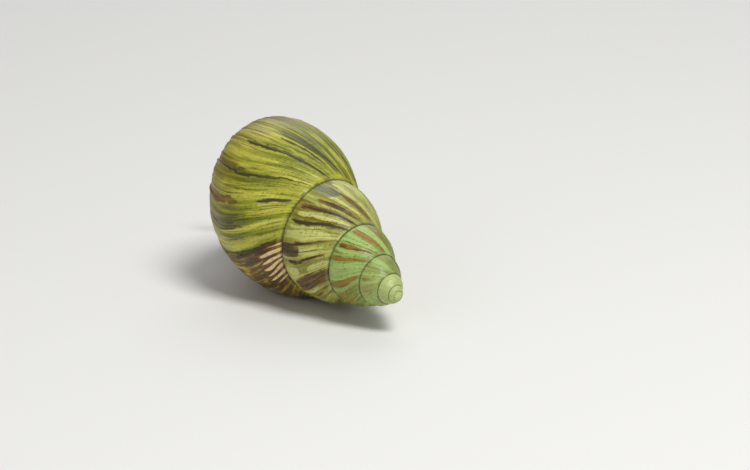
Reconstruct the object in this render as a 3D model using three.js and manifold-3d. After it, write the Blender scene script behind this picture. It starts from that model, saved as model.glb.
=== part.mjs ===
// Giant African land snail (Lissachatina fulica), life size, resting with its head just out.
// Millimetres. +X is forward (head), +Y the animal's left, +Z up, and the floor is Z = 0.
// The shell is one closed conispiral solid, parted whorl by whorl along its suture.  The soft
// body is modelled whole, fitted into the mouth of the shell, and then parted with thin cuts.
import * as THREE from 'three'
import { mergeVertices } from 'three/addons/utils/BufferGeometryUtils.js'
import Module from 'manifold-3d'

const wasm = await Module()
wasm.setup()

// ---- Driving dimensions -------------------------------------------------------------------

const degree = Math.PI / 180
const turn = 2 * Math.PI

// The spiral.  A growth angle of 0 is a line down the upper left of the shell, and the suture
// starts each whorl there: radius and height from the apex, both growing with the angle.
const sutureRadius = 12.4
const sutureHeight = 30.5
const growthPerRadian = 0.05995
const growthSlowing = 0.00058
const heightPower = 1.467
const firstAngle = -5 * turn
const lipAngle = 178 * degree

// The outline of a whorl from its upper suture to the next, and of the last one to its base.
const whorlBulge = 0.095
const bulgeSkew = 0.5
const baseDepth = 1.25
const baseLeave = 0.99
const baseArrive = 0.77
const baseSlope = 12.7 * degree
const baseRecess = 5.0
const recessSpan = 100 * degree

// How the shell sits: its axis dips towards the apex, and this growth angle faces the floor.
const axisDip = 10.8 * degree
const floorAngle = 232 * degree
const bellyFlat = 0.2

// The mouth of the shell: how thick and deep it is, in degrees back from the lip, how far its
// hollow stays from the suture and the base, and the strip of outer wall that is the lip.
const wall = 1.2
const columellaRadius = 2.2
const mouthStep = 7
const mouthSteps = [-5, -4, -3, -2, -1, 0].map((step) => step * mouthStep)
const mouthHeadroom = 3.2
const mouthFootroom = 0.8
const lipBand = 22 * degree
const lipTop = 3.8
const lipBottom = 3.4
const lipClear = 1.7
const overshoot = 3 * degree

// The gap between two pieces, and a distance well clear of the whole animal.
const gap = 0.3
const floorMargin = 50

// The foot, as stations along its midline: place, half width and height.
const footStations = [
  { x: 27, y: -6.5, half: 1.2, high: 1.0 },
  { x: 31, y: -7.6, half: 3.6, high: 2.0 },
  { x: 37, y: -8.9, half: 6.4, high: 3.2 },
  { x: 46, y: -10.6, half: 9.2, high: 4.6 },
  { x: 56, y: -12.2, half: 10.8, high: 5.6 },
  { x: 66, y: -13.6, half: 11.0, high: 6.2 },
  { x: 75, y: -15.0, half: 9.8, high: 6.0 },
  { x: 81, y: -16.2, half: 8.0, high: 4.6 },
  { x: 84.5, y: -17.0, half: 5.6, high: 2.6 },
]

// The stalk of flesh under the mouth: its share of the mouth's width, and its oval on the foot.
const stalkShare = 0.74
const stalkDepth = 4 * degree
const stalkFoot = { x: 61, y: -13, z: 2.4, long: 16, wide: 8.2 }

// The neck and head, as stations along their middle: place, half width and half height.
const neckStations = [
  { x: 62, y: -11.0, z: 7.0, half: 6.8, high: 5.6 },
  { x: 69, y: -12.2, z: 7.8, half: 6.6, high: 5.8 },
  { x: 75, y: -13.6, z: 7.6, half: 6.0, high: 5.4 },
  { x: 80, y: -15.0, z: 7.1, half: 5.6, high: 4.9 },
  { x: 84, y: -16.2, z: 6.5, half: 5.2, high: 4.5 },
  { x: 86.8, y: -17.1, z: 5.9, half: 4.3, high: 3.8 },
  { x: 88.6, y: -17.7, z: 5.4, half: 2.6, high: 2.4 },
]

// Feelers: root and tip, radius at both, and the knob at the end of an upper one, with its eye.
const upperFeelers = {
  left: { root: [83.2, -13.4, 8.8], tip: [88.2, -9.6, 15.6] },
  right: { root: [82.4, -18.4, 8.8], tip: [86.2, -23.4, 15.2] },
}
const lowerFeelers = {
  left: { root: [86.0, -14.9, 5.0], tip: [91.0, -13.2, 3.6] },
  right: { root: [85.4, -19.2, 5.0], tip: [89.6, -22.0, 3.6] },
}
const upperRootRadius = 1.35
const upperTipRadius = 0.85
const upperBulbRadius = 1.15
const lowerRootRadius = 1.05
const lowerTipRadius = 0.7
const eyeRadius = 0.75
const eyeForward = 0.09

// Where the soft body is parted, as distances forward of the apex.
const tailCut = 40
const footCut = 62
const neckCut = 73
const headCut = 80.5

// ---- The shell's surface ------------------------------------------------------------------

function suture(angle) {
  const growth = growthPerRadian * angle - growthSlowing * angle * angle
  return { r: sutureRadius * Math.exp(growth), z: sutureHeight * Math.exp(heightPower * growth) }
}

function bezier(a, b, c, d, t) {
  const s = 1 - t
  return a * s * s * s + 3 * b * s * s * t + 3 * c * s * t * t + d * t * t * t
}

// The bulged line between two sutures, v running from 0 to 1.
function whorlPoint(angle, v) {
  const top = suture(angle)
  const foot = suture(angle + turn)
  const along = { r: foot.r - top.r, z: foot.z - top.z }
  const bulge = whorlBulge * 4 * v * (1 - v) * (1 + bulgeSkew * (v - 0.5))
  return { r: top.r + along.r * v + along.z * bulge, z: top.z + along.z * v - along.r * bulge }
}

// The underside of the last whorl, v running from 1 at the next suture's line to 2 on the axis.
function basePoint(angle, v) {
  const before = whorlPoint(angle, 0.999)
  const start = whorlPoint(angle, 1)
  const length = Math.hypot(start.r - before.r, start.z - before.z)
  const leave = { r: (start.r - before.r) / length, z: (start.z - before.z) / length }
  const depth = (baseDepth - 1) * start.z
  const near = Math.max(1 - (lipAngle - angle) / recessSpan, 0)
  const end = { r: 0, z: baseDepth * start.z - baseRecess * near * near }
  const reach = depth * baseLeave
  const arrive = depth * baseArrive
  const t = v - 1
  return {
    r: bezier(start.r, start.r + leave.r * reach, end.r + Math.cos(baseSlope) * arrive, end.r, t),
    z: bezier(start.z, start.z + leave.z * reach, end.z - Math.sin(baseSlope) * arrive, end.z, t),
  }
}

function surfacePoint(angle, v) {
  return v <= 1 ? whorlPoint(angle, v) : basePoint(angle, v)
}

// The same surface moved outwards along its normal; the end on the axis only moves along it.
function offsetPoint(angle, v, offset) {
  const point = surfacePoint(angle, v)
  if (v >= 2) {
    return { r: 0, z: point.z + offset }
  }
  const step = 0.002
  const a = surfacePoint(angle, Math.max(v - step, 0))
  const b = surfacePoint(angle, Math.min(v + step, 2))
  const length = Math.hypot(b.r - a.r, b.z - a.z)
  const r = point.r + ((b.z - a.z) / length) * offset
  return { r: Math.max(r, 0), z: point.z - ((b.r - a.r) / length) * offset }
}

// From shell coordinates (radius, growth angle, height from the apex) to the floor's frame.
function place(r, angle, z) {
  const down = r * Math.cos(angle - floorAngle)
  const side = r * Math.sin(angle - floorAngle)
  const x = z * Math.cos(axisDip) + down * Math.sin(axisDip)
  const up = z * Math.sin(axisDip) - down * Math.cos(axisDip)
  return [x, side, up]
}

// ---- Solids -------------------------------------------------------------------------------

function solidFrom(geometry) {
  const bare = geometry.index ? geometry.clone() : geometry
  bare.deleteAttribute('normal')
  bare.deleteAttribute('uv')
  const merged = mergeVertices(bare, 1e-4)
  const vertProperties = new Float32Array(merged.attributes.position.array)
  const triVerts = new Uint32Array(merged.index.array)
  return new wasm.Manifold(new wasm.Mesh({ numProp: 3, vertProperties, triVerts }))
}

function geometryFrom(solid) {
  const mesh = solid.getMesh()
  const geometry = new THREE.BufferGeometry()
  geometry.setAttribute('position', new THREE.BufferAttribute(new Float32Array(mesh.vertProperties), 3))
  geometry.setIndex(new THREE.BufferAttribute(new Uint32Array(mesh.triVerts), 1))
  return geometry
}

function solidFromFaces(points, faces) {
  const geometry = new THREE.BufferGeometry()
  geometry.setAttribute('position', new THREE.BufferAttribute(new Float32Array(points.flat()), 3))
  geometry.setIndex(faces.flat())
  return solidFrom(geometry)
}

// A closed skin over rings of equally many points, with a fan over each end.  The second half
// of each ring has its diagonals mirrored, so that the two faces of a thin sheet run parallel.
function loft(rings) {
  const count = rings[0].length
  const points = rings.flat()
  const faces = []
  for (let ring = 0; ring + 1 < rings.length; ring += 1) {
    for (let side = 0; side < count; side += 1) {
      const a = ring * count + side
      const b = ring * count + ((side + 1) % count)
      if (side < count / 2) {
        faces.push([a, b, a + count], [b, b + count, a + count])
      } else {
        faces.push([a, b, b + count], [a, b + count, a + count])
      }
    }
  }
  for (const [ring, flip] of [[0, false], [rings.length - 1, true]]) {
    const middle = [0, 1, 2].map((axis) => rings[ring].reduce((sum, p) => sum + p[axis], 0) / count)
    const hub = points.push(middle) - 1
    for (let side = 0; side < count; side += 1) {
      const a = ring * count + side
      const b = ring * count + ((side + 1) % count)
      faces.push(flip ? [hub, a, b] : [hub, b, a])
    }
  }
  const solid = solidFromFaces(points, faces)
  return solid.volume() > 0 ? solid : solidFromFaces(points, faces.map(([a, b, c]) => [a, c, b]))
}

// The whole shell as one closed solid: a strip that winds from the apex to the lip, each whorl
// sharing its lower edge with the next, and a face across the mouth at the end.
function shellSolid(offset) {
  const sides = 40
  const stepsPerWhorl = 4
  const stepsToBase = 8
  const step = turn / sides
  const last = Math.round((lipAngle - firstAngle) / step)
  const start = lipAngle - last * step
  const points = []
  const index = new Map()
  const vertex = (column, v) => {
    // The lower suture of one whorl is the upper suture of the next.
    const shared = v === stepsPerWhorl && column + sides <= last
    const name = shared ? `${column + sides}:0` : `${column}:${v}`
    if (!index.has(name)) {
      const angle = start + column * step
      const way = v <= stepsPerWhorl ? v / stepsPerWhorl : 1 + (v - stepsPerWhorl) / stepsToBase
      const p = offsetPoint(shared ? angle + turn : angle, shared ? 0 : way, offset)
      index.set(name, points.push(place(p.r, angle, p.z)) - 1)
    }
    return index.get(name)
  }
  const faces = []
  for (let column = 0; column < last; column += 1) {
    const end = column + sides >= last ? stepsPerWhorl + stepsToBase : stepsPerWhorl
    for (let v = 0; v < end; v += 1) {
      const corner = vertex(column, v)
      const across = vertex(column + 1, v + 1)
      faces.push([corner, across, vertex(column, v + 1)], [corner, vertex(column + 1, v), across])
    }
  }
  // The tip: a fan over the first turn and over the strip's first edge.
  const tip = points.push(place(0, 0, -offset)) - 1
  for (let column = 0; column < sides; column += 1) {
    faces.push([tip, vertex(column + 1, 0), vertex(column, 0)])
  }
  for (let v = 0; v < stepsPerWhorl; v += 1) {
    faces.push([tip, vertex(0, v), vertex(0, v + 1)])
  }
  // The mouth: the lip on one side, and on the other the older whorl's base and then the axis.
  // Both run from the suture to the base, so they are laced together in step with X.
  const lip = []
  for (let v = 0; v <= stepsPerWhorl + stepsToBase; v += 1) {
    lip.push(vertex(last, v))
  }
  const inner = []
  for (let v = stepsPerWhorl; v <= stepsPerWhorl + stepsToBase; v += 1) {
    inner.push(vertex(last - sides, v))
  }
  for (let column = last - sides + 1; column <= last; column += 1) {
    inner.push(vertex(column, stepsPerWhorl + stepsToBase))
  }
  const reach = (list, i) => (i < list.length ? points[list[i]][0] : Infinity)
  let a = 0
  let b = 0
  while (a + 1 < lip.length || b + 1 < inner.length) {
    const lipFirst = reach(lip, a + 1) <= reach(inner, b + 1)
    const face = lipFirst ? [lip[a], inner[b], lip[a + 1]] : [inner[b + 1], lip[a], inner[b]]
    if (new Set(face).size === 3) {
      faces.push(face)
    }
    a += lipFirst ? 1 : 0
    b += lipFirst ? 0 : 1
  }
  return solidFromFaces(points, faces)
}

// The radius of the surface at a height, and 0 past its end.
function radiusAt(angle, z) {
  let low = 0
  let high = 2
  if (z >= surfacePoint(angle, high).z) {
    return 0
  }
  for (let round = 0; round < 30; round += 1) {
    const middle = (low + high) / 2
    if (surfacePoint(angle, middle).z < z) {
      low = middle
    } else {
      high = middle
    }
  }
  return surfacePoint(angle, low).r
}

// The hollow of the last whorl at a growth angle, as a ring in its half plane: down the outer
// wall, and back up the columella and the older whorl.  More inset makes it smaller.
function mouthRing(angle, inset, gapInside) {
  const levels = 11
  const top = suture(angle).z + mouthHeadroom
  const bottom = surfacePoint(angle, 2).z - inset - mouthFootroom
  const outer = []
  const inner = []
  for (let level = 0; level < levels; level += 1) {
    const z = top + ((bottom - top) * level) / (levels - 1)
    const near = Math.max(radiusAt(angle - turn, z) + wall * 0.5, columellaRadius) + gapInside
    const far = radiusAt(angle, z + inset) - inset
    outer.push(place(Math.max(far, near + gap), angle, z))
    inner.unshift(place(near, angle, z))
  }
  return outer.concat(inner)
}

function mouthSolid(angles, inset, gapInside) {
  return loft(angles.map((angle) => mouthRing(lipAngle + angle * degree, inset, gapInside)))
}

// A thin cut along one turn of the suture, closed by a wall across the whorl at the turn's end
// and by a pin hole along the axis.
function sutureCut(angle) {
  const sides = 40
  const pinRadius = 0.5
  const inside = pinRadius * 0.8
  const beyond = 2
  const top = suture(angle - turn).z - gap / 2
  const bottom = suture(angle).z + gap / 2
  const sheet = Array.from({ length: sides + 1 }, (_, side) => {
    const here = angle - turn + (turn * side) / sides
    const { r, z } = suture(here)
    const corners = [[inside, -1], [r + beyond, -1], [r + beyond, 1], [inside, 1]]
    return corners.map(([radius, way]) => place(radius, here, z + (way * gap) / 2))
  })
  const outside = suture(angle).r + beyond
  const across = place(gap / 2, angle + turn / 4, 0)
  const partition = [-1, 1].map((way) => {
    const corners = [[inside, top], [outside, top], [outside, bottom], [inside, bottom]]
    return corners.map(([r, z]) => place(r, angle, z).map((value, axis) => value + across[axis] * way))
  })
  const pin = [top, bottom].map((z) => {
    return Array.from({ length: 12 }, (_, side) => place(pinRadius, (turn * side) / 12, z))
  })
  return loft(sheet).add(loft(partition)).add(loft(pin))
}

function box(lowest, highest) {
  const size = [0, 1, 2].map((axis) => highest[axis] - lowest[axis])
  const geometry = new THREE.BoxGeometry(...size)
  geometry.translate(...[0, 1, 2].map((axis) => (highest[axis] + lowest[axis]) / 2))
  return solidFrom(geometry)
}

function largest(solid) {
  return solid.decompose().reduce((best, piece) => (piece.volume() > best.volume() ? piece : best))
}

// ---- The shell ----------------------------------------------------------------------------

const wholeShell = shellSolid(0)
// The belly of the last whorl is cut flat where it would sink into the floor.
const lift = -wholeShell.boundingBox().min[2] - bellyFlat
const belowFloor = box([-floorMargin, -floorMargin, -floorMargin], [3 * floorMargin, floorMargin, 0])

function settle(solid) {
  return largest(solid.translate([0, 0, lift]).subtract(belowFloor))
}

// The newest strip of the outer wall, from just under the suture to just short of the base.
function lipSolid(grow) {
  const levels = 8
  const from = lipAngle - lipBand - grow / sutureRadius
  const to = lipAngle + overshoot
  const rings = [0, 0.25, 0.5, 0.75, 1].map((share) => {
    const angle = from + (to - from) * share
    const top = suture(angle).z + lipTop - grow
    const bottom = surfacePoint(angle, 2).z - lipBottom + grow
    const outer = []
    const inner = []
    for (let level = 0; level < levels; level += 1) {
      const z = top + ((bottom - top) * level) / (levels - 1)
      const surface = radiusAt(angle, z)
      outer.push(place(surface + lipClear, angle, z))
      inner.unshift(place(Math.max(surface - 2 * lipClear, columellaRadius), angle, z))
    }
    return outer.concat(inner)
  })
  return loft(rings)
}

const hollowSteps = [mouthSteps[0] - mouthStep, ...mouthSteps, overshoot / degree]
const hollowShell = wholeShell.subtract(mouthSolid(hollowSteps, wall, 0))
const parted = [0, 1, 2].reduce((rest, whorl) => {
  return rest.subtract(sutureCut(lipAngle - whorl * turn))
}, hollowShell.subtract(lipSolid(gap)))
const crumb = 1
const whorls = parted.decompose().filter((piece) => piece.volume() > crumb)
whorls.sort((one, other) => one.boundingBox().max[0] - other.boundingBox().max[0])

// ---- The soft body ------------------------------------------------------------------------

// Rings across the middle of a run of stations; shape gives a ring's sideways and upward part.
function stationRings(stations, sides, shape) {
  const curve = new THREE.CatmullRomCurve3(stations.map(({ x, y }) => new THREE.Vector3(x, y, 0)))
  return stations.map((station, index) => {
    const ahead = curve.getTangent(index / (stations.length - 1))
    return Array.from({ length: sides }, (_, side) => {
      const [across, up] = shape(station, (turn * side) / sides)
      return [station.x - ahead.y * across, station.y + ahead.x * across, up]
    })
  })
}

function footSolid() {
  return loft(stationRings(footStations, 18, ({ half, high }, angle) => {
    return [half * Math.cos(angle), high * Math.sqrt(Math.max(Math.sin(angle), 0))]
  }))
}

function neckSolid(grow) {
  return loft(stationRings(neckStations, 16, ({ z, half, high }, angle) => {
    return [(half + grow) * Math.cos(angle), z + (high + grow) * Math.sin(angle)]
  }))
}

// The stalk of flesh between the mouth of the shell and the foot.  It starts just inside the
// mouth, narrower than the mantle round it, and widens onto the foot.
function stalkSolid() {
  const mouth = mouthRing(lipAngle - stalkDepth, wall + gap, gap).map(([x, y, z]) => [x, y, z + lift])
  const middle = [0, 1, 2].map((axis) => mouth.reduce((sum, p) => sum + p[axis], 0) / mouth.length)
  const start = mouth.map((p) => p.map((value, axis) => middle[axis] + (value - middle[axis]) * stalkShare))
  const end = start.map((_, index) => {
    const angle = Math.PI + (turn * (index + 0.5)) / start.length
    const along = stalkFoot.long * Math.cos(angle)
    return [stalkFoot.x + along, stalkFoot.y + stalkFoot.wide * Math.sin(angle), stalkFoot.z]
  })
  return loft([0, 0.25, 0.5, 0.75, 1].map((t) => {
    return start.map((p, index) => p.map((value, axis) => value + (end[index][axis] - value) * t))
  }))
}

function ball(centre, radius) {
  const geometry = new THREE.SphereGeometry(radius, 12, 7)
  geometry.translate(...centre)
  return solidFrom(geometry)
}

// A round feeler, thinner towards its tip.
function feelerSolid({ root, tip }, rootRadius, tipRadius) {
  const sides = 10
  const from = new THREE.Vector3(...root)
  const to = new THREE.Vector3(...tip)
  const ahead = to.clone().sub(from).normalize()
  const across = new THREE.Vector3(0, 0, 1).cross(ahead).normalize()
  const over = ahead.clone().cross(across)
  return loft([0, 0.5, 1].map((t) => {
    const radius = rootRadius + (tipRadius - rootRadius) * Math.sqrt(t)
    return Array.from({ length: sides }, (_, side) => {
      const angle = (turn * side) / sides
      const point = from.clone().lerp(to, t)
      point.addScaledVector(across, radius * Math.cos(angle))
      return point.addScaledVector(over, radius * Math.sin(angle)).toArray()
    })
  }))
}

const mantle = mouthSolid(mouthSteps, wall + gap, gap)
const grownShell = shellSolid(gap).translate([0, 0, lift])
const outOfMouth = [0, 1, 2].map((axis) => place(1, lipAngle + turn / 4, 0)[axis] * gap)
const shellRoom = grownShell.add(grownShell.translate(outOfMouth))
const flesh = footSolid().add(neckSolid(0)).add(stalkSolid()).subtract(shellRoom).subtract(belowFloor)

function fleshBetween(from, to) {
  const slice = box([from + gap / 2, -floorMargin, -1], [to - gap / 2, floorMargin, floorMargin])
  return largest(flesh.intersect(slice))
}

// ---- The model ----------------------------------------------------------------------------

const paleShell = new THREE.MeshStandardMaterial({ color: 0xd9cfa6, roughness: 0.35, metalness: 0 })
const oliveShell = new THREE.MeshStandardMaterial({ color: 0x9a8f45, roughness: 0.35, metalness: 0 })
const streakedShell = new THREE.MeshStandardMaterial({ color: 0xb3a868, roughness: 0.35, metalness: 0 })
const mantleSkin = new THREE.MeshStandardMaterial({ color: 0x9c8a70, roughness: 0.4, metalness: 0 })
const bodySkin = new THREE.MeshStandardMaterial({ color: 0x6b5744, roughness: 0.45, metalness: 0 })
const eyeSkin = new THREE.MeshStandardMaterial({ color: 0x14100e, roughness: 0.15, metalness: 0 })

const snail = new THREE.Group()

function addPiece(name, solid, material) {
  const mesh = new THREE.Mesh(geometryFrom(solid), material)
  mesh.name = name
  snail.add(mesh)
}

addPiece('shell_apex', settle(whorls[0]), paleShell)
addPiece('shell_upper_spire', settle(whorls[1]), streakedShell)
addPiece('shell_penultimate_whorl', settle(whorls[2]), streakedShell)
addPiece('shell_body_whorl', settle(whorls[3]), oliveShell)
addPiece('shell_lip', settle(hollowShell.intersect(lipSolid(0))), oliveShell)
addPiece('mantle_collar', settle(mantle), mantleSkin)
addPiece('tail', fleshBetween(0, tailCut), bodySkin)
addPiece('foot_rear', fleshBetween(tailCut, footCut), bodySkin)
addPiece('foot_front', fleshBetween(footCut, neckCut), bodySkin)
addPiece('neck', fleshBetween(neckCut, headCut), bodySkin)
addPiece('head', fleshBetween(headCut, 2 * headCut), bodySkin)

const headRoom = neckSolid(gap)
for (const side of ['left', 'right']) {
  const { root, tip } = upperFeelers[side]
  const eyeCentre = tip.map((value, axis) => value + (value - root[axis]) * eyeForward)
  const upper = feelerSolid(upperFeelers[side], upperRootRadius, upperTipRadius)
  const knob = upper.add(ball(tip, upperBulbRadius)).subtract(ball(eyeCentre, eyeRadius + gap))
  const lower = feelerSolid(lowerFeelers[side], lowerRootRadius, lowerTipRadius)
  addPiece(`upper_tentacle_${side}`, largest(knob.subtract(headRoom)), bodySkin)
  addPiece(`eye_${side}`, ball(eyeCentre, eyeRadius), eyeSkin)
  addPiece(`lower_tentacle_${side}`, largest(lower.subtract(headRoom)), bodySkin)
}

// The origin is on the floor under the middle of the whole animal.
const bounds = new THREE.Box3().setFromObject(snail)
snail.position.set(-(bounds.min.x + bounds.max.x) / 2, -(bounds.min.y + bounds.max.y) / 2, 0)

export default snail
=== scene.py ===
import math

import bmesh
import bpy
import numpy as np
from mathutils import Matrix, Vector
from mathutils.bvhtree import BVHTree
from mathutils.kdtree import KDTree


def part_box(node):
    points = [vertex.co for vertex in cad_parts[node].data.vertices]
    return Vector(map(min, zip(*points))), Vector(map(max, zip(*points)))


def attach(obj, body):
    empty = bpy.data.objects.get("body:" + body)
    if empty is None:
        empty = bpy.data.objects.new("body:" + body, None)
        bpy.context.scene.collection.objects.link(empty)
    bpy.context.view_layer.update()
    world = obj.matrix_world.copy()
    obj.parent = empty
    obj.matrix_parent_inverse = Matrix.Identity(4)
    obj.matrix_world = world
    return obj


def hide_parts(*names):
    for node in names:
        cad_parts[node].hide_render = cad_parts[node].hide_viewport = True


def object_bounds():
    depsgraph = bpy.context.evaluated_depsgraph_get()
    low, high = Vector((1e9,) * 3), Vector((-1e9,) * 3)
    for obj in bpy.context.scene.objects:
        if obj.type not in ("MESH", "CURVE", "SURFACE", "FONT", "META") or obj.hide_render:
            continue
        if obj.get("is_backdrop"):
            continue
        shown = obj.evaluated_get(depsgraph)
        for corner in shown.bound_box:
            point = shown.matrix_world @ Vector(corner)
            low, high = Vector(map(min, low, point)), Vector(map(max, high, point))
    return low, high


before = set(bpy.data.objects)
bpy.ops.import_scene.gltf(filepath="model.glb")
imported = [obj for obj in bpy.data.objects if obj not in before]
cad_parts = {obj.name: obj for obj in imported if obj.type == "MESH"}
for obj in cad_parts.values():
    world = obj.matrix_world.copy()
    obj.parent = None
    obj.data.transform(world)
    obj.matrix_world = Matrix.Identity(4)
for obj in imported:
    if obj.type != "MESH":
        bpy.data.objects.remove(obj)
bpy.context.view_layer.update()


# ---- Shell, its form -------------------------------------------------------------------------
# One tube of lime that winds to the right and widens as it grows.  Each whorl hangs from the
# seam, or suture, of the one before, and the last rounds under to the columella, its pillar.
MM = 0.001
TURN = 360.0                 # degrees; all growth angles are in degrees
SUTURE_RADIUS = 12.4         # mm from the axis, at growth angle 0
SUTURE_HEIGHT = 30.5         # mm from the tip, at growth angle 0
GROWTH = 0.05995             # per radian
GROWTH_SLOWING = 0.00058     # per radian squared
HEIGHT_POWER = 1.467         # height grows as this power of the radius
LIP_ANGLE = 178.0            # where the shell ends
WHORL_BULGE = 0.095          # of a whorl's height
BULGE_SKEW = 0.5             # how far the bulge leans to the lower suture
BASE_DEPTH = 1.25            # height of the base's end over that of the suture above it
BASE_LEAVE = 0.99            # how far the base's curve keeps the whorl's direction
BASE_ARRIVE = 0.77           # and how far it keeps its slope out from the axis
BASE_SLOPE = math.radians(12.7)
BASE_RECESS = 8.5            # mm that the base's end draws back by the lip
RECESS_SPAN = 88.0           # degrees of growth in which it does
NOSE_START = 66.0            # mm from the tip, beyond which the base's end is rounded off
NOSE_ROUND = 5.0             # mm, the most that the rounded end reaches past that
LIP_BOW = 3.5                # degrees that the middle of the lip runs ahead of its ends
BOW_SPAN = 70.0              # degrees of growth in which the bow comes in
AXIS_DIP = math.radians(10.8)
FLOOR_ANGLE = 232.0          # the growth angle that faces the floor
BELLY_FLAT = 0.2             # mm of the belly pressed level where it lies on the floor


def smooth(low, high, x):
    """0 on low's side and 1 on high's, with a soft step between them."""
    t = np.clip((x - low) / (high - low), 0, 1)
    return t * t * (3 - 2 * t)


def suture(angle):
    """Radius and height of the seam that a whorl hangs from."""
    a = np.radians(angle)
    growth = GROWTH * a - GROWTH_SLOWING * a * a
    return SUTURE_RADIUS * np.exp(growth), SUTURE_HEIGHT * np.exp(HEIGHT_POWER * growth)


def whorl_outline(angle, v):
    """The outer face of a whorl, bulging between its two sutures."""
    top_r, top_z = suture(angle)
    foot_r, foot_z = suture(angle + TURN)
    along_r, along_z = foot_r - top_r, foot_z - top_z
    bulge = WHORL_BULGE * 4 * v * (1 - v) * (1 + BULGE_SKEW * (v - 0.5))
    return top_r + along_r * v + along_z * bulge, top_z + along_z * v - along_r * bulge


def base_outline(angle, v):
    """The outer face below the last whorl, one curve from its widest part in to the axis."""
    before_r, before_z = whorl_outline(angle, 0.999)
    start_r, start_z = whorl_outline(angle, 1.0)
    length = np.hypot(start_r - before_r, start_z - before_z)
    depth = (BASE_DEPTH - 1) * start_z
    near = np.maximum(1 - (LIP_ANGLE - angle) / RECESS_SPAN, 0)
    end_z = BASE_DEPTH * start_z - BASE_RECESS * near * near
    leave_r = start_r + (start_r - before_r) / length * depth * BASE_LEAVE
    leave_z = start_z + (start_z - before_z) / length * depth * BASE_LEAVE
    arrive_r = math.cos(BASE_SLOPE) * depth * BASE_ARRIVE
    arrive_z = end_z - math.sin(BASE_SLOPE) * depth * BASE_ARRIVE
    t = v - 1
    s = 1 - t
    r = start_r * s**3 + 3 * leave_r * s * s * t + 3 * arrive_r * s * t * t
    z = start_z * s**3 + 3 * leave_z * s * s * t + 3 * arrive_z * s * t * t + end_z * t**3
    return r, z


def outline(angle, v):
    """Radius and height of the outer face: v runs 0 to 1 down a whorl, and 1 to 2 to the axis."""
    whorl = whorl_outline(angle, np.minimum(v, 1))
    base = base_outline(angle, np.maximum(v, 1))
    return np.where(v <= 1, whorl[0], base[0]), np.where(v <= 1, whorl[1], base[1])


def outward(angle, v):
    """The direction out of the shell there, as its parts along the radius and the height."""
    step = 0.004
    r0, z0 = outline(angle, np.maximum(v - step, 0))
    r1, z1 = outline(angle, np.minimum(v + step, 2))
    length = np.maximum(np.hypot(r1 - r0, z1 - z0), 1e-9)
    return (z1 - z0) / length, (r0 - r1) / length


def lay(r, angle, z):
    """Shell coordinates turned to lie as the shell does, tip at the origin, in millimetres."""
    lip_foot = outline(LIP_ANGLE, 2.0)[1]
    lip_top = suture(LIP_ANGLE)[1]
    along_lip = np.clip((z - lip_top) / (lip_foot - lip_top), 0, 1)
    bow = LIP_BOW * np.sin(math.pi * along_lip)
    angle = angle + bow * smooth(LIP_ANGLE - BOW_SPAN, LIP_ANGLE, angle)
    past = np.clip(z - NOSE_START, 0, None)
    z = np.minimum(z, NOSE_START) + NOSE_ROUND * np.tanh(past / NOSE_ROUND)
    down = r * np.cos(np.radians(angle - FLOOR_ANGLE))
    side = r * np.sin(np.radians(angle - FLOOR_ANGLE))
    x = z * math.cos(AXIS_DIP) + down * math.sin(AXIS_DIP)
    up = z * math.sin(AXIS_DIP) - down * math.cos(AXIS_DIP)
    return np.stack([x, side, up], -1)


# The tip is the rearmost point, the belly just touches the floor, and the widest point of the
# last whorl says how far the shell stands to the left.
probe_angle, probe_v = np.meshgrid(np.arange(LIP_ANGLE - TURN, LIP_ANGLE, 1), np.linspace(0, 2, 300))
probe_r, probe_z = outline(probe_angle, probe_v)
probe = lay(probe_r, probe_angle, probe_z)
shift = np.array([
    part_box("shell_apex")[0][0] / MM,
    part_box("shell_body_whorl")[1][1] / MM - probe[..., 1].max(),
    -BELLY_FLAT - probe[..., 2].min(),
])


# ---- Shell, its sculpture --------------------------------------------------------------------
# The lip lays down a growth line each time it grows, leaning back from the suture, so the whorls
# are ribbed along old lips.  Where growth stopped for a season a step is left in the surface.
LEAN = 70.0                  # degrees that a growth line falls back per unit of v at the suture
LEAN_BEND = 32.0             # and how much less per unit of v squared
LIP_SQUARES_UP = 90.0        # from here on the lines turn parallel with the lip
RINGED_AT = 17.0             # mm, the radius at which the sizes below hold
RINGED_POWER = 0.6           # how the sculpture's height grows with the radius
# Each field of the sculpture: mm along the growth, mm down the whorl, and seed; then its height.
RIBS, RIB_HEIGHT = (0.95, 16, 11), 0.10
THREADS, THREAD_HEIGHT = (0.5, 9, 15), 0.045
SWELLS, SWELL_HEIGHT = (2.4, 22, 12), 0.09
WAVES, WAVE_HEIGHT = (7.0, 26, 13), 0.11
DENTS, DENT_HEIGHT = (3.2, 2.6, 14), 0.035
# The healed part comes in and goes out between these growth angles, and fades below this v.
HEALED_START = (-78, -54)
HEALED_END = (-29, -24)
HEALED_DOWN = (0.14, 0.44)
HEALED_PITCH = 1.75          # mm from one coarse rib to the next
HEALED_HEIGHT = 0.15
REST_STOPS = (-24.5, 16.5, 39.0, 64.5, 121.0, 158.0, -61.0, -118.0, -304.0, -322.5, -343.0,
              -402.0, -467.0, -520.0)
STOP_DROP = 0.22             # mm that the surface falls past an old lip
STOP_FADE = 2.2              # mm in which it rises again
STOP_RIDGE = 0.10            # mm that the old lip's edge stands up
LEDGE_HEIGHT = 0.20
LEDGE_FADE = 0.16            # of a whorl's height
LEDGE_CRIMP = 0.45


def noise(x, y, seed):
    """A smooth random field between -1 and 1, one cell to a unit, repeating after 256."""
    table = np.random.default_rng(seed).uniform(-1, 1, (256, 256))
    column, row = np.floor(x).astype(int), np.floor(y).astype(int)
    across, down = x - column, y - row
    across = across * across * (3 - 2 * across)
    down = down * down * (3 - 2 * down)
    near = table[column % 256, row % 256] * (1 - across) + table[(column + 1) % 256, row % 256] * across
    row = row + 1
    far = table[column % 256, row % 256] * (1 - across) + table[(column + 1) % 256, row % 256] * across
    return near * (1 - down) + far * down


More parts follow.
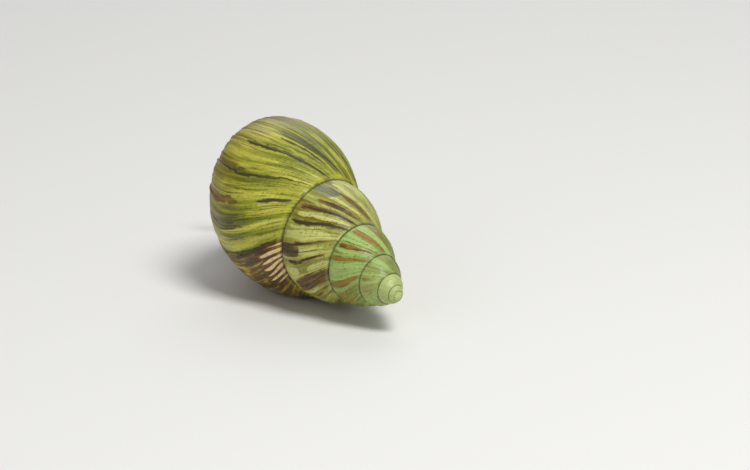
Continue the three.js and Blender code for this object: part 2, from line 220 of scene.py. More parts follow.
def hill(*terms):
    """1 where every offset is 0, falling off around it: each term is an offset and its width."""
    return np.exp(-sum((offset / width) ** 2 for offset, width in terms))


def growth_angle(angle, v):
    """The angle of the lip, at the suture, when this point was laid down."""
    lean = LEAN * v - LEAN_BEND * v * v
    return angle + lean * (1 - smooth(LIP_SQUARES_UP, LIP_ANGLE, angle))


LENGTH_STEP = 2.0            # degrees
WIDEST = 300                 # degrees on, where the suture is as wide as the whorl's widest line
MIDDLE = 200                 # and as wide as its middle
length_angle = np.arange(-2400.0, 260.0, LENGTH_STEP)
length_run = np.cumsum(suture(length_angle + WIDEST)[0] * math.radians(LENGTH_STEP))


def growth_length(theta):
    """Millimetres of shell laid down, measured along the widest line of the whorl."""
    return np.interp(theta, length_angle, length_run)


def whorl_height(angle):
    """Millimetres from a whorl's upper suture to its lower one."""
    top_r, top_z = suture(angle)
    foot_r, foot_z = suture(angle + TURN)
    return np.hypot(foot_r - top_r, foot_z - top_z)


def healed(angle, v):
    """Where the lip was once broken back and grew again in coarse ribs, by the suture."""
    theta = growth_angle(angle, v)
    along = smooth(*HEALED_START, theta) * (1 - smooth(*HEALED_END, theta))
    return along * (1 - smooth(*HEALED_DOWN, v))


def healed_ribs(along, down):
    """The coarse ribs of the healed part: 1 on a crest and -1 in a furrow."""
    return np.sin(2 * math.pi * (along / HEALED_PITCH + 0.45 * noise(along / 3.0, down / 4, 16)))


def relief(angle, v):
    """Millimetres that the real surface stands proud of the smooth outline."""
    theta = growth_angle(angle, v)
    along = growth_length(theta)
    down = v * whorl_height(angle)
    size = (suture(angle + MIDDLE)[0] / RINGED_AT) ** RINGED_POWER

    def field(run, span, seed):
        return noise(along / run, down / span, seed)

    ribs = 1 - 2 * np.abs(field(*RIBS))
    threads = 1 - 2 * np.abs(field(*THREADS))
    height = RIB_HEIGHT * ribs + THREAD_HEIGHT * threads + SWELL_HEIGHT * field(*SWELLS)
    height = height + HEALED_HEIGHT * healed(angle, v) * healed_ribs(along, down)
    height = height + WAVE_HEIGHT * field(*WAVES) + DENT_HEIGHT * field(*DENTS)
    for stop in REST_STOPS:
        past = (along - growth_length(stop)) / size
        height = height - STOP_DROP * np.where(past > 0, np.exp(-past / STOP_FADE), 0)
        height = height + STOP_RIDGE * hill((past + 0.35, 0.4))
    # The upper edge of a whorl is pressed on to the one before, in a fine crimped ledge.
    ledge = smooth(0, 0.03, v) * np.exp(-v / LEDGE_FADE)
    height = height * smooth(0, 0.05, v) + LEDGE_HEIGHT * ledge * (1 + LEDGE_CRIMP * ribs)
    earlier = angle < LIP_ANGLE - TURN
    return height * size * (1 - smooth(1.6, 1.95, v)) * (1 - 0.9 * smooth(0.95, 1.0, v) * earlier)


# ---- Shell, its mesh -------------------------------------------------------------------------
# A strip of cells winds from the tip to the lip, each whorl sharing its lower edge with the next.
# The cells are coarser on the small whorls and near the axis.  Behind the lip, the hollow of the
# last whorl goes in to where the mantle fills it, round the pillar and over the older whorl.
COLUMNS = 600                # to a turn
ROWS = 64                    # to a whorl, and as many again round the base
FINE_ROWS = 112              # the rows of the last turn that are fine, and then less fine
MEDIUM_ROWS = 120
LAST = 3744                  # the column of the lip
WALL = 1.2                   # mm, the shell's thickness at the mouth
PILLAR_RADIUS = 2.2
HEADROOM = 3.2               # mm from the suture down to the hollow
FOOTROOM = 0.8               # mm from the hollow down to the inner face of the base
LEAST_HOLLOW = 0.05          # mm
CALLUS = 0.6                 # mm of glaze over the older whorl inside the mouth
HOLLOW_DEPTH = 52.0          # degrees back from the lip
LIP_ROUND = 0.35             # mm that the lip's edge is rounded forward
AXIS_ROUND = 1.6             # times as much at the pillar
INNER_SLOPE = 1.5            # degrees that the edge leans back on the pillar's side


def angle_at(column):
    """The growth angle of a column of the mesh."""
    return LIP_ANGLE - (LAST - np.asarray(column)) * TURN / COLUMNS


def shared(column, row):
    """The lower edge of a whorl is the upper edge of the next."""
    return (column + COLUMNS, 0) if row == ROWS and column + COLUMNS <= LAST else (column, row)


last_turn = LAST - COLUMNS
# Each block: its first and end column, its top and bottom row, and the size of its cells.
blocks = [
    (last_turn, LAST, 0, FINE_ROWS, 1),
    (last_turn, LAST, FINE_ROWS, MEDIUM_ROWS, 4),
    (last_turn, LAST, MEDIUM_ROWS, 2 * ROWS, 8),
    (last_turn - 2 * COLUMNS, last_turn, 0, ROWS, 2),
    (last_turn - 4 * COLUMNS, last_turn - 2 * COLUMNS, 0, ROWS, 4),
    (0, last_turn - 4 * COLUMNS, 0, ROWS, 8),
]
cells = []
for first, end, top, bottom, size in blocks:
    cells += [(c, r, size) for c in range(first, end, size) for r in range(top, bottom, size)]
used = set()
for column, row, size in cells:
    used.add(shared(column, row))
    used.add(shared(column + size, row))
    used.add(shared(column, row + size))
    used.add(shared(column + size, row + size))


def walk(column, row, size):
    """The corners of a cell in order, with each point that a finer neighbour puts between them."""
    path = [(column + k, row) for k in range(size)]
    path += [(column + size, row + k) for k in range(size)]
    path += [(column + size - k, row + size) for k in range(size)]
    path += [(column, row + size - k) for k in range(size)]
    return path if size == 1 else [place for place in path if shared(*place) in used]


vertex_at = {}
for place in sorted(used):
    vertex_at[place] = len(vertex_at)
lattice = np.array(sorted(used))
faces, corner_column, corner_row = [], [], []
for cell in cells:
    path = walk(*cell)
    faces.append([vertex_at[shared(*place)] for place in path])
    corner_column += [place[0] for place in path]
    corner_row += [place[1] for place in path]

point_angle = angle_at(lattice[:, 0])
point_v = lattice[:, 1] / ROWS
point_r, point_z = outline(point_angle, point_v)
normal_r, normal_z = outward(point_angle, point_v)
proud = relief(point_angle, point_v)
points = lay(np.maximum(point_r + normal_r * proud, 0), point_angle, point_z + normal_z * proud)


def on_outline(angle, z):
    """Radius of the outer face at a height, 0 past its end."""
    v = np.linspace(0, 2, 500)
    r, height = outline(angle, v)
    return np.interp(z, height, r, right=0)


def hollow(angle, share, outer):
    """A ring of the mouth's hollow: share 0 to 1 from the suture's side to the base."""
    top = suture(angle)[1] + HEADROOM
    foot = outline(angle, 2.0)[1] - WALL - FOOTROOM
    z = top + (foot - top) * share
    outside = on_outline(angle, z + WALL) - WALL
    inside = np.maximum(on_outline(angle - TURN, z) + CALLUS, PILLAR_RADIUS)
    inside = np.minimum(inside, outside - LEAST_HOLLOW * (1 - outer))
    return np.where(outer, np.maximum(outside, PILLAR_RADIUS), inside), z


# The rim of the mouth: down the lip, up the axis, and up the base of the whorl before.
rim = [(LAST, row) for row in range(2 * ROWS + 1) if (LAST, row) in used]
rim += [(c, 2 * ROWS) for c in range(LAST - 1, last_turn, -1) if (c, 2 * ROWS) in used]
rim += [(last_turn, row) for row in range(2 * ROWS, ROWS, -1) if (last_turn, row) in used]
rim_ids = [vertex_at[place] for place in rim]
rim_column = np.array([place[0] for place in rim])
rim_row = np.array([place[1] for place in rim])
rim_z = outline(angle_at(rim_column), rim_row / ROWS)[1]
rim_share = (rim_z - rim_z.min()) / (rim_z.max() - rim_z.min())
rim_outer = rim_column == LAST
rim_axis = (rim_row == 2 * ROWS) & ~rim_outer
# Its edge is rounded in three steps, each a share of the way across and of the full rounding.
EDGE_STEPS = ((0.12, 0.7), (0.5, 1.0), (0.88, 0.7))
HOLLOW_STEPS = (0, 1.5, 4, 8, 12, 16, 20, 24, 28, 32, 36, 40, 44, 48, HOLLOW_DEPTH)
rings = []
flat_r, flat_z = hollow(LIP_ANGLE, rim_share, rim_outer)
edge_r = outline(angle_at(rim_column), rim_row / ROWS)[0]
forward = np.where(rim_outer, 1.0, np.where(rim_axis, AXIS_ROUND, 0.0)) * LIP_ROUND
for share, swell in EDGE_STEPS:
    r = edge_r + (flat_r - edge_r) * share
    z = rim_z + (flat_z - rim_z) * share
    ahead = np.degrees(forward * swell / np.maximum(r, 1.0))
    rings.append(lay(r, LIP_ANGLE + ahead, z))
for back in HOLLOW_STEPS:
    slope = np.where(rim_outer, 0, INNER_SLOPE) * (back == 0)
    r, z = hollow(LIP_ANGLE - back, rim_share, rim_outer)
    rings.append(lay(r, LIP_ANGLE - back - slope, z))
inner_start = len(points)
points = np.concatenate([points, *rings, rings[-1].mean(0)[None]])
previous = rim_ids
for ring in range(len(rings)):
    here = [inner_start + ring * len(rim) + k for k in range(len(rim))]
    for k in range(len(rim)):
        after = (k + 1) % len(rim)
        faces.append([previous[after], previous[k], here[k], here[after]])
    previous = here
back_wall = len(points) - 1
faces += [[previous[(k + 1) % len(rim)], previous[k], back_wall] for k in range(len(rim))]

# The tip is a low dome over the first turn.
DOME = 0.55                  # size of the dome's ring over that of the first turn
DOME_TOP = 0.4               # height of its top over that of the turn's start
crown = [(c, 0) for c in range(0, COLUMNS, 8)] + [(0, row) for row in range(ROWS, 0, -8)]
crown_ids = [vertex_at[shared(*place)] for place in crown]
crown_column = np.array([shared(*place)[0] for place in crown])
crown_row = np.array([shared(*place)[1] for place in crown])
crown_r, crown_z = outline(angle_at(crown_column), crown_row / ROWS)
crown_angle = angle_at(crown_column)
tip_z = crown_z.min() * DOME_TOP
dome_ring = lay(crown_r * DOME, crown_angle, tip_z + (crown_z - tip_z) * DOME**2)
dome_start = len(points)
points = np.concatenate([points, dome_ring, lay(0.0, 0.0, tip_z)[None]])
for k in range(len(crown)):
    after = (k + 1) % len(crown)
    faces.append([crown_ids[after], crown_ids[k], dome_start + k, dome_start + after])
    faces.append([dome_start + after, dome_start + k, dome_start + len(crown)])

# The pillar's end stands in the mouth as a smooth round column, and stops in a blunt knob.
PILLAR_START = 44.0          # mm from the tip
PILLAR_END = 68.5
PILLAR_GLAZE = 0.15          # mm that the bare column is thicker than the pillar within
PILLAR_TAPER = 0.74          # its width at the knob over its width at the start
PILLAR_TWIST = 0.16
KNOB = 1.9                   # mm of it that round off to a dome
KNOB_TIP = 0.04              # size of the dome's last ring


def tube_faces(sides, rows, first=0, closed=False):
    """The faces of a stack of rings, shut at both ends unless the last joins the first."""
    quads = []
    for row in range(rows if closed else rows - 1):
        here, there = first + row * sides, first + (row + 1) % rows * sides
        for side in range(sides):
            after = (side + 1) % sides
            quads.append([here + side, here + after, there + after, there + side])
    if not closed:
        quads.append([first + side for side in range(sides)][::-1])
        quads.append([first + (rows - 1) * sides + side for side in range(sides)])
    return quads


knob_turn = np.linspace(0, math.pi / 2, 12)[1:]
knob_start = PILLAR_END - KNOB
pillar_z = [np.linspace(PILLAR_START, knob_start, 40), knob_start + KNOB * np.sin(knob_turn)]
pillar_z = np.concatenate(pillar_z)
taper = [np.linspace(1, PILLAR_TAPER, 40), PILLAR_TAPER * np.cos(knob_turn[:-1]), [KNOB_TIP]]
pillar_size = (PILLAR_RADIUS + PILLAR_GLAZE) * np.concatenate(taper)
pillar_angle = np.arange(-540.0, -180.0, 10.0)
pillar_start = len(points)
for z, size in zip(pillar_z, pillar_size):
    flat = 1 + PILLAR_TWIST * np.sin(np.radians(pillar_angle * 2 + z * 9))
    points = np.concatenate([points, lay(size * flat, pillar_angle, np.full(len(pillar_angle), z))])
faces += tube_faces(len(pillar_angle), len(pillar_z), pillar_start)


def piece_of(name, points, faces):
    """A new piece in the scene, from points in millimetres."""
    mesh = bpy.data.meshes.new(name)
    mesh.from_pydata((np.asarray(points) * MM).tolist(), [], faces)
    piece = bpy.data.objects.new(name, mesh)
    bpy.context.collection.objects.link(piece)
    return piece


def shade_smooth(mesh):
    """Lets the light run on over the edges between the faces."""
    for polygon in mesh.polygons:
        polygon.use_smooth = True


points = points + shift
points[:, 2] = np.maximum(points[:, 2], 0)
shell = piece_of("shell", points, faces)
shell_mesh = shell.data
shade_smooth(shell_mesh)


# ---- Shell, its colours ----------------------------------------------------------------------
# An olive-yellow skin, the periostracum, covers the last whorl.  On the spire it has worn to pale
# green-cream with chestnut flames along old lips, and dark lines mark where growth stopped.

# Each streak: growth angle, half width in degrees, from and to v, then dark, brown, grey, pale.
STREAKS = (
    (-23.5, 1.3, -0.05, 1.15, 0.95, 0.2, 0, 0),
    (-16.0, 6.0, 0.20, 1.20, 0, 0, 0, 0.85),
    (-9.5, 0.8, 0.10, 0.90, 0.45, 0, 0, 0),
    (-3.0, 1.0, 0.30, 1.10, 0.55, 0, 0, 0),
    (1.5, 2.2, 0.55, 1.2, 0.5, 0.2, 0.5, 0),
    (6.0, 0.9, 0.20, 0.75, 0.65, 0, 0, 0),
    (11.0, 0.8, 0.05, 0.60, 0.5, 0, 0, 0),
    # Halfway down the whorl, from 16 to 23 degrees, lies a painted sunlit spot: the next two streaks
    # leave a gap there, and the pale patch at 22.5 degrees fills it.
    (16.2, 1.9, 0.02, 0.46, 0.7, 0, 0.9, 0),
    (17.5, 3.0, 0.58, 1.25, 0.3, 1.0, 0.3, 0),
    (22.5, 2.4, 0.35, 0.62, 0, 0, 0, 0.9),
    (26.0, 0.7, 0.15, 1.00, 0.5, 0, 0, 0),
    (30.5, 2.2, 0.30, 1.10, 0, 0, 0, 0.5),
    (34.5, 0.8, 0.05, 0.50, 0.6, 0.2, 0, 0),
    (39.0, 1.3, -0.05, 1.25, 1.0, 0.4, 0.2, 0),
    (43.5, 2.0, 0.10, 1.00, 0, 0, 0, 0.6),
    (48.0, 0.7, 0.05, 0.70, 0.5, 0, 0, 0),
    (53.0, 5.0, 0.35, 1.30, 0, 0, 0, 0.6),
    (58.0, 0.8, 0.10, 0.60, 0.5, 0.2, 0, 0),
    (64.5, 1.9, -0.05, 1.10, 1.0, 0.3, 0.2, 0),
    (69.0, 2.0, 0.15, 0.60, 0, 0, 0, 0.7),
    (76.0, 1.4, 0.00, 0.80, 0.8, 0, 0, 0),
    (84.0, 9.0, 0.00, 0.90, 0.5, 0, 0, 0),
    (101.0, 5.0, 0.15, 0.45, 0, 0, 0.2, 1.0),
    (-243.0, 1.2, 0.20, 1.00, 0.8, 0.3, 0, 0),
    (-250.0, 1.6, 0.10, 1.00, 0, 0, 0, 0.9),
    (-256.0, 1.3, 0.05, 0.95, 0.8, 0.3, 0, 0),
    (-265.5, 3.2, -0.10, 1.00, 0, 0, 0, 1.0),
    (-274.5, 3.2, -0.05, 0.95, 0.3, 0.8, 0, 0),
    (-285.0, 2.6, 0.05, 0.85, 0, 0, 0, 0.8),
    # This wide grey patch on the penultimate whorl is partly the shell's own darker tone and partly
    # painted leaf shadow.
    (-279.0, 9.0, 0.55, 1.12, 0.35, 0.3, 0.95, 0),
    (-295.0, 3.6, 0.02, 0.85, 0.4, 0.8, 0, 0),
    (-300.5, 1.4, 0.10, 0.80, 0, 0, 0, 0.7),
    (-306.5, 3.4, -0.08, 1.02, 0.6, 1.0, 0.3, 0),
    (-314.5, 3.2, -0.05, 0.98, 0, 0, 0, 1.0),
    (-323.5, 3.2, -0.10, 1.05, 0.9, 0.7, 0, 0),
    (-329.0, 1.6, 0.20, 1.00, 0, 0, 0, 0.8),
    (-332.5, 1.1, 0.10, 0.90, 0.5, 0.4, 0, 0),
    (-338.0, 6.0, 0.10, 1.05, 0, 0, 0, 1.0),
    (-347.0, 2.4, 0.05, 0.80, 0.5, 0.8, 0, 0),
    (-355.0, 8.5, 0.52, 1.20, 0.6, 1.0, 0, 0),
    (-357.0, 1.5, 0.05, 0.60, 0.3, 0.5, 0, 0),
    (-366.5, 2.6, 0.05, 0.90, 0.6, 0.7, 0, 0),
    (-378.0, 6.0, 0.55, 1.00, 0, 0, 0, 0.9),
    (-381.0, 6.0, -0.10, 0.45, 0, 0, 0, 1.0),
    (-396.0, 10.0, -0.15, 0.92, 0.45, 1.0, 0, 0),
    (-408.0, 2.4, 0.20, 0.90, 0, 0, 0, 0.7),
    (-415.0, 3.5, -0.05, 0.70, 0.2, 0.7, 0, 0),
    (-428.0, 4.0, 0.00, 0.90, 0, 0, 0, 0.6),
    (-621.0, 4.0, 0.05, 0.95, 0.3, 0.6, 0, 0),
    (-630.0, 2.5, 0.05, 0.95, 0, 0, 0, 0.8),
    (-641.0, 6.5, -0.05, 1.05, 0.2, 0.95, 0, 0),
    (-657.0, 6.0, 0.02, 1.02, 0, 0, 0, 1.0),
    (-665.0, 1.2, 0.30, 1.00, 0.6, 0.2, 0, 0),
    (-671.5, 4.2, 0.05, 1.00, 0.25, 1.0, 0, 0),
    (-680.0, 4.5, 0.05, 0.98, 0, 0, 0, 0.9),
    (-694.0, 4.2, -0.05, 1.08, 0.1, 0.85, 0, 0),
    (-712.0, 11.0, -0.05, 1.05, 0, 0, 0, 1.0),
    (-735.0, 6.5, -0.05, 1.10, 0.1, 1.0, 0, 0),
    (-746.0, 3.0, 0.00, 0.90, 0, 0, 0, 0.6),
    (-758.0, 4.0, 0.10, 1.00, 0.1, 0.55, 0, 0),
    (-775.0, 6.0, 0.00, 1.00, 0.1, 0.7, 0, 0),
    (-787.0, 3.0, 0.10, 1.00, 0, 0, 0, 0.7),
    (-1012.0, 16.0, 0.10, 1.00, 0, 0, 0, 0.8),
    (-1062.0, 10.0, 0.10, 1.00, 0, 0.5, 0, 0),
    (-1092.0, 5.0, 0.00, 0.90, 0, 0.45, 0, 0),
)
SIDES_SEEN = ((-95, 104), (-436, -240), (-785, -616), (-1100, -990))
# Round the rest of the shell the streaks are dealt out at random, within these limits.
STREAKS_END = -1300
STREAK_GAP = (4, 20)
STREAK_START = (-0.3, 0.5)
STREAK_LENGTH = (0.4, 1.2)
KIND_ODDS = (0.3, 0.4, 0.06, 0.24)
STREAK_STRENGTH = (0.45, 0.95)
STREAK_WIDTH = (0.8, 4.5)
# A streak's edge wanders: degrees to a bend, bends to a whorl's height, seed, degrees aside.
WANDERS = ((9, 5, 21, 1.5), (3, 14, 22, 0.8), (1.4, 38, 23, 0.5))


def wandered(angle, v):
    """The growth angle with the unsteady edge that a streak has."""
    theta = growth_angle(angle, v)
    aside = theta
    for run, bends, seed, reach in WANDERS:
        aside = aside + noise(theta / run, v * bends, seed) * reach
    return aside


def stains(angle, v):
    """Strength of the dark, brown, grey and pale streaks, the listed ones and then random ones; one
    grey patch is partly painted leaf shadow, and one pale patch is painted sunlight.
    """
    theta = wandered(angle, v)
    strength = np.zeros((4, *np.shape(theta)))
    pick = np.random.default_rng(5)
    rows = list(STREAKS)
    middle = LIP_ANGLE - 14
    while middle > STREAKS_END:
        middle -= pick.uniform(*STREAK_GAP)
        start = pick.uniform(*STREAK_START)
        end = start + pick.uniform(*STREAK_LENGTH)
        amounts = [0, 0, 0, 0]
        kind = pick.choice(4, p=KIND_ODDS)
        amounts[kind] = pick.uniform(*STREAK_STRENGTH) * (1 - 0.45 * smooth(-800, -1100, middle))
        half = pick.uniform(*STREAK_WIDTH) * (1 + 0.6 * smooth(-150, -420, middle))
        if not any(low < middle < high for low, high in SIDES_SEEN):
            rows.append((middle, half, start, end, *amounts))
    for middle, half, start, end, *amounts in rows:
        share = np.clip((v - start) / (end - start), 0, 1)
        width = half * (0.3 + 0.7 * np.sqrt(np.sin(math.pi * share)))
        across = hill((theta - middle, width))
        along = smooth(0, 0.14, share) * (1 - smooth(0.8, 1, share))
        for kind, amount in enumerate(amounts):
            if amount:
                strength[kind] = np.maximum(strength[kind], amount * across * along)
    return strength


def operator_of(operation):
    """A Math operation as a pair of methods: value first, and value second."""
    def forward(self, other):
        return self.maths(operation, self, other)

    def reflected(self, other):
        return self.maths(operation, other, self)

    return forward, reflected


class Value:
    """A socket that takes arithmetic, adding Math nodes as it goes."""

    def __init__(self, tree, socket):
        self.tree = tree
        self.socket = socket

    def node(self, kind, settings, inputs, output=0):
        """A new node: its settings go in first, then the values or links of its sockets."""
        made = self.tree.nodes.new("ShaderNode" + kind)
        for name, setting in settings.items():
            if name == "stops":
                elements = made.color_ramp.elements
                while len(elements) < len(setting):
                    elements.new(0.5)
                for element, (at, shade) in zip(elements, setting):
                    element.position = at
                    element.color = shade
            else:
                setattr(made, name, setting)
        for name, value in inputs.items():
            if isinstance(value, Value):
                self.tree.links.new(value.socket, made.inputs[name])
            else:
                made.inputs[name].default_value = value
        return Value(self.tree, made.outputs[output])

    def maths(self, operation, *terms):
        return self.node("Math", {"operation": operation}, dict(enumerate(terms)))

    __add__, __radd__ = operator_of("ADD")
    __sub__, __rsub__ = operator_of("SUBTRACT")
    __mul__, __rmul__ = operator_of("MULTIPLY")
    __truediv__, __rtruediv__ = operator_of("DIVIDE")

    def clamp(self):
        return self.node("Clamp", {}, {"Value": self})

    def between(self, low, high):
        """0 on low's side and 1 on high's, with a soft step between them."""
        return self.node("MapRange", {"interpolation_type": "SMOOTHSTEP"},
                         {"Value": self, "From Min": low, "From Max": high})

    def blend(self, first, second):
        """first where this is 0 and second where it is 1, as colours."""
        return self.node("Mix", {"data_type": "RGBA"}, {0: self, 6: first, 7: second}, 2)


def colour(red, green, blue):
    """A colour as seen on a screen, 0 to 255, in the shader's own linear scale."""
    def linear(part):
        part = part / 255
        return part / 12.92 if part < 0.04045 else ((part + 0.055) / 1.055) ** 2.4
    return linear(red), linear(green), linear(blue), 1.0


def material_for(piece, name):
    """A new material on the piece: its principled shader, and a Value to build its nodes from."""
    material = bpy.data.materials.new(name)
    material.use_nodes = True
    shader = material.node_tree.nodes["Principled BSDF"]
    piece.data.materials.append(material)
    return shader, Value(material.node_tree, None)


def feed(shader, name, value):
    """Links a value to a socket of the piece's shader."""
    value.tree.links.new(value.socket, shader.inputs[name])


def hold(shader, constants):
    """Sets the sockets that are the same all over the piece."""
    for name, value in constants.items():
        shader.inputs[name].default_value = value


def attribute(mesh, name, rows, domain):
    """A number or a vector for each point, or for each corner, which may jump along a suture."""
    data = np.asarray(rows, float)
    kind = "FLOAT" if data.ndim == 1 else "FLOAT_VECTOR"
    layer = mesh.attributes.new(name, kind, domain)
    layer.data.foreach_set("value" if kind == "FLOAT" else "vector", data.ravel())


# The mesh's corners come in this order: the outer face, the inside, the tip's dome, the pillar.
outer_corners = len(corner_column)
all_corners = len(shell_mesh.loops)
pillar_corners = 4 * len(pillar_angle) * (len(pillar_z) - 1) + 2 * len(pillar_angle)
dome = slice(all_corners - pillar_corners - 7 * len(crown), all_corners - pillar_corners)
inside = np.ones(all_corners)
inside[:outer_corners] = 0
inside[dome] = 0
corner_angle = angle_at(np.array(corner_column))
corner_v = np.array(corner_row) / ROWS
corner_run = growth_length(growth_angle(corner_angle, corner_v))
corner_down = corner_v * whorl_height(corner_angle)
growth = np.zeros((all_corners, 3))
growth[:outer_corners] = np.stack([corner_run, corner_down, corner_angle / TURN], -1)
growth[dome, 2] = angle_at(0) / TURN
corner_point = np.array([loop.vertex_index for loop in shell_mesh.loops])
within = (corner_point >= inner_start) & (inside > 0)
growth[within, :2] = points[corner_point[within], :2]
attribute(shell_mesh, "growth", growth, "CORNER")
attribute(shell_mesh, "inside", inside, "CORNER")

# Along the seam run a dark line and a pale ledge.  The pale streaks are kept with them.
tints = stains(corner_angle, corner_v)
SEAM_LINE = 0.014            # of a whorl's height
FOOT_LINE = 0.012
SCAR_START = (-150, -95)     # growth angles between which the rough colour comes in, and goes
SCAR_END = (-26, -23.2)
LEDGE_AT = 0.045
LEDGE_WIDTH = 0.02
tremble = 1 + 0.5 * noise(corner_run / 0.7, corner_v * 0, 24)
edge = hill((corner_v, SEAM_LINE * tremble))
foot = hill((1 - corner_v, FOOT_LINE * tremble)) * (corner_angle < LIP_ANGLE - TURN)
wandering = wandered(corner_angle, corner_v)
scar = (1 - smooth(*SCAR_END, wandering)) * smooth(*SCAR_START, wandering)
# How far up a healed rib each corner lies, which sets its colour: partly worn colour, partly painted
# highlight on the crests and painted shade in the furrows.
crest_wear_and_highlight = healed(corner_angle, corner_v) * (0.5 + 0.5 * healed_ribs(corner_run, corner_down))
for name, columns in (
    ("stain", tints[:3]),
    ("seam", (np.maximum(edge, foot), hill((corner_v - LEDGE_AT, LEDGE_WIDTH)), tints[3])),
    ("ribbed", (scar, crest_wear_and_highlight, corner_v)),
):
    rows = np.zeros((all_corners, 3))
    rows[:outer_corners] = np.stack(columns, -1)
    attribute(shell_mesh, name, rows, "CORNER")

OLIVE_DEEP = colour(76, 80, 18)
OLIVE = colour(120, 126, 26)
OLIVE_YELLOW = colour(162, 164, 38)
STRAW = colour(204, 200, 78)
CREAM = colour(206, 208, 118)
WARM_OLIVE = colour(140, 110, 22)
SPIRE_BROWN = colour(110, 88, 26)
SPIRE_OLIVE = colour(134, 132, 42)
SPIRE_PALE = colour(168, 172, 78)
HIGH_WARM = colour(138, 126, 48)
HIGH_GREEN = colour(132, 154, 66)
HIGH_PALE = colour(162, 190, 106)
TIP_CREAM = colour(182, 196, 124)
CHESTNUT = colour(98, 62, 22)
RUST = colour(146, 100, 26)
PURPLE_BROWN = colour(70, 42, 30)
NEARLY_BLACK = colour(40, 36, 14)
SLATE = colour(88, 94, 78)
PINK_CREAM = colour(246, 214, 158)
SCAR_TAN = colour(196, 166, 84)
NACRE = colour(196, 194, 180)
NACRE_BLUE = colour(166, 176, 180)

shader, start = material_for(shell, "shell_glaze")


def attribute_parts(name):
    """The three numbers of a vector attribute."""
    found = start.node("Attribute", {"attribute_name": name}, {}, 1)
    split = found.node("SeparateXYZ", {}, {"Vector": found})
    return [Value(split.tree, split.socket.node.outputs[part]) for part in range(3)]


laid, down, turns = attribute_parts("growth")
dark, brown, grey = attribute_parts("stain")
seam_line, seam_ledge, pale = attribute_parts("seam")
scarred, crest_wear_and_sheen, share_down = attribute_parts("ribbed")
inside_at = start.node("Attribute", {"attribute_name": "inside"}, {}, 2)


def lined(along, across, seed, detail=2.0):
    """Noise drawn out along the growth lines: millimetres between lines, and along them."""
    place = start.node("CombineXYZ", {}, {"X": laid / along, "Y": down / across, "Z": seed})
    return start.node("TexNoise", {}, {"Vector": place, "Scale": 1.0, "Detail": detail})


def ramp(value, *stops):
    """A colour for each value, with those between the stops shaded from one to the next."""
    return start.node("ValToRGB", {"stops": stops}, {"Fac": value})


fine = lined(0.24, 5.0, 1.3)
hairs = lined(0.5, 10.0, 2.1)
ridges = lined(1.0, 15.0, 3.1)
bands = lined(2.4, 24.0, 3.7)
fields = lined(9.0, 13.0, 4.9)
speckle = lined(0.45, 0.6, 6.1, 3.0)
blotches = lined(1.4, 3.6, 7.7, 3.0)
spirals = lined(3.0, 0.4, 8.3, 1.0)
grains = spirals.between(0.4, 0.62) * fine.between(0.35, 0.6) * share_down.between(0.95, 0.45)

spire = turns.between(-0.35, -0.75)
high = turns.between(-1.25, -1.75)
tip = turns.between(-2.5, -3.8)
layers = bands * 0.50 + ridges * 0.38 + hairs * 0.12
ground = ramp(layers, (0.39, OLIVE_DEEP), (0.45, OLIVE), (0.51, OLIVE_YELLOW), (0.59, STRAW))
ground = (fields.between(0.45, 0.7) * 0.45).blend(ground, OLIVE)
# Warmer on the lower part of the last whorl, so its top stays greener: partly the shell's own tone,
# partly painted green leaf shade on the top.
ground = (share_down.between(0.55, 1.1) * 0.45 * (1 - spire)).blend(ground, WARM_OLIVE)
whorls = ramp(layers, (0.39, SPIRE_BROWN), (0.45, SPIRE_OLIVE), (0.54, SPIRE_PALE), (0.62, CREAM))
high_whorls = ramp(layers, (0.38, HIGH_WARM), (0.46, HIGH_GREEN), (0.57, HIGH_PALE))
ground = spire.blend(ground, high.blend(whorls, high_whorls))
ground = (tip * 0.8).blend(ground, TIP_CREAM)

# Pale streaks, one of them a painted sunlit spot, and the dark hairlines of the growth.
light = (pale * 1.3 + hairs * 0.9 + ridges * 0.5 - 1.0).between(0.0, 0.5)
lights = high.blend(spire.blend(STRAW, CREAM), HIGH_PALE)
ground = (light * (0.55 + spire * 0.25)).blend(ground, lights)
lines = (hairs.between(0.54, 0.64) * 0.6 + fine.between(0.56, 0.70) * 0.35) * (1 - tip * 0.7)
ground = (lines * (1 - 0.4 * light)).clamp().blend(ground, spire.blend(OLIVE_DEEP, SPIRE_BROWN))

# The healed part: rough and blotched, pale on its rib crests and dark in its furrows.
patches = ramp(ridges * 0.6 + blotches * 0.4,
               (0.43, PURPLE_BROWN), (0.48, CHESTNUT), (0.53, WARM_OLIVE), (0.59, SCAR_TAN))
ground = (scarred * 0.85).blend(ground, patches)
# The pink-cream crests and purple-brown furrows are partly the worn colour of the healed part, partly
# painted highlight on the crests and painted shade in the furrows.
ribs = ramp(crest_wear_and_sheen + blotches * 0.5 - 0.25,
            (0.10, PURPLE_BROWN), (0.26, CHESTNUT), (0.42, RUST), (0.58, PINK_CREAM))
ground = crest_wear_and_sheen.between(0.02, 0.2).blend(ground, ribs)

# Brown flames in a rusty halo, then grey streaks, one of them partly painted leaf shadow, then nearly
# black ones.
halo = (brown * 1.2 + hairs * 0.7 - 0.55).between(0.0, 0.6)
ground = (halo * 0.55).blend(ground, high.blend(WARM_OLIVE, RUST))
ragged = (brown * 1.3 + blotches * 0.6 + hairs * 1.2 - 1.4).between(0.0, 0.22)
streaky = ragged * (0.6 + hairs.between(0.42, 0.56) * 0.35)
flames = ramp(blotches * 0.6 + ridges * 0.4,
              (0.43, PURPLE_BROWN), (0.52, CHESTNUT), (0.66, RUST))
high_flames = ramp(blotches * 0.5 + ridges * 0.5,
                   (0.42, CHESTNUT), (0.50, WARM_OLIVE), (0.60, RUST))
ground = streaky.blend(ground, high.blend(flames, high_flames))
slate = (grey * 1.4 + blotches * 0.4 + hairs * 0.9 - 1.0).between(0.0, 0.4)
ground = (slate * 0.7).blend(ground, SLATE)
stroke = (dark * 1.2 + hairs * 1.0 + blotches * 0.3 - 1.0).between(0.0, 0.4)
ground = (stroke * 0.82).blend(ground, NEARLY_BLACK)

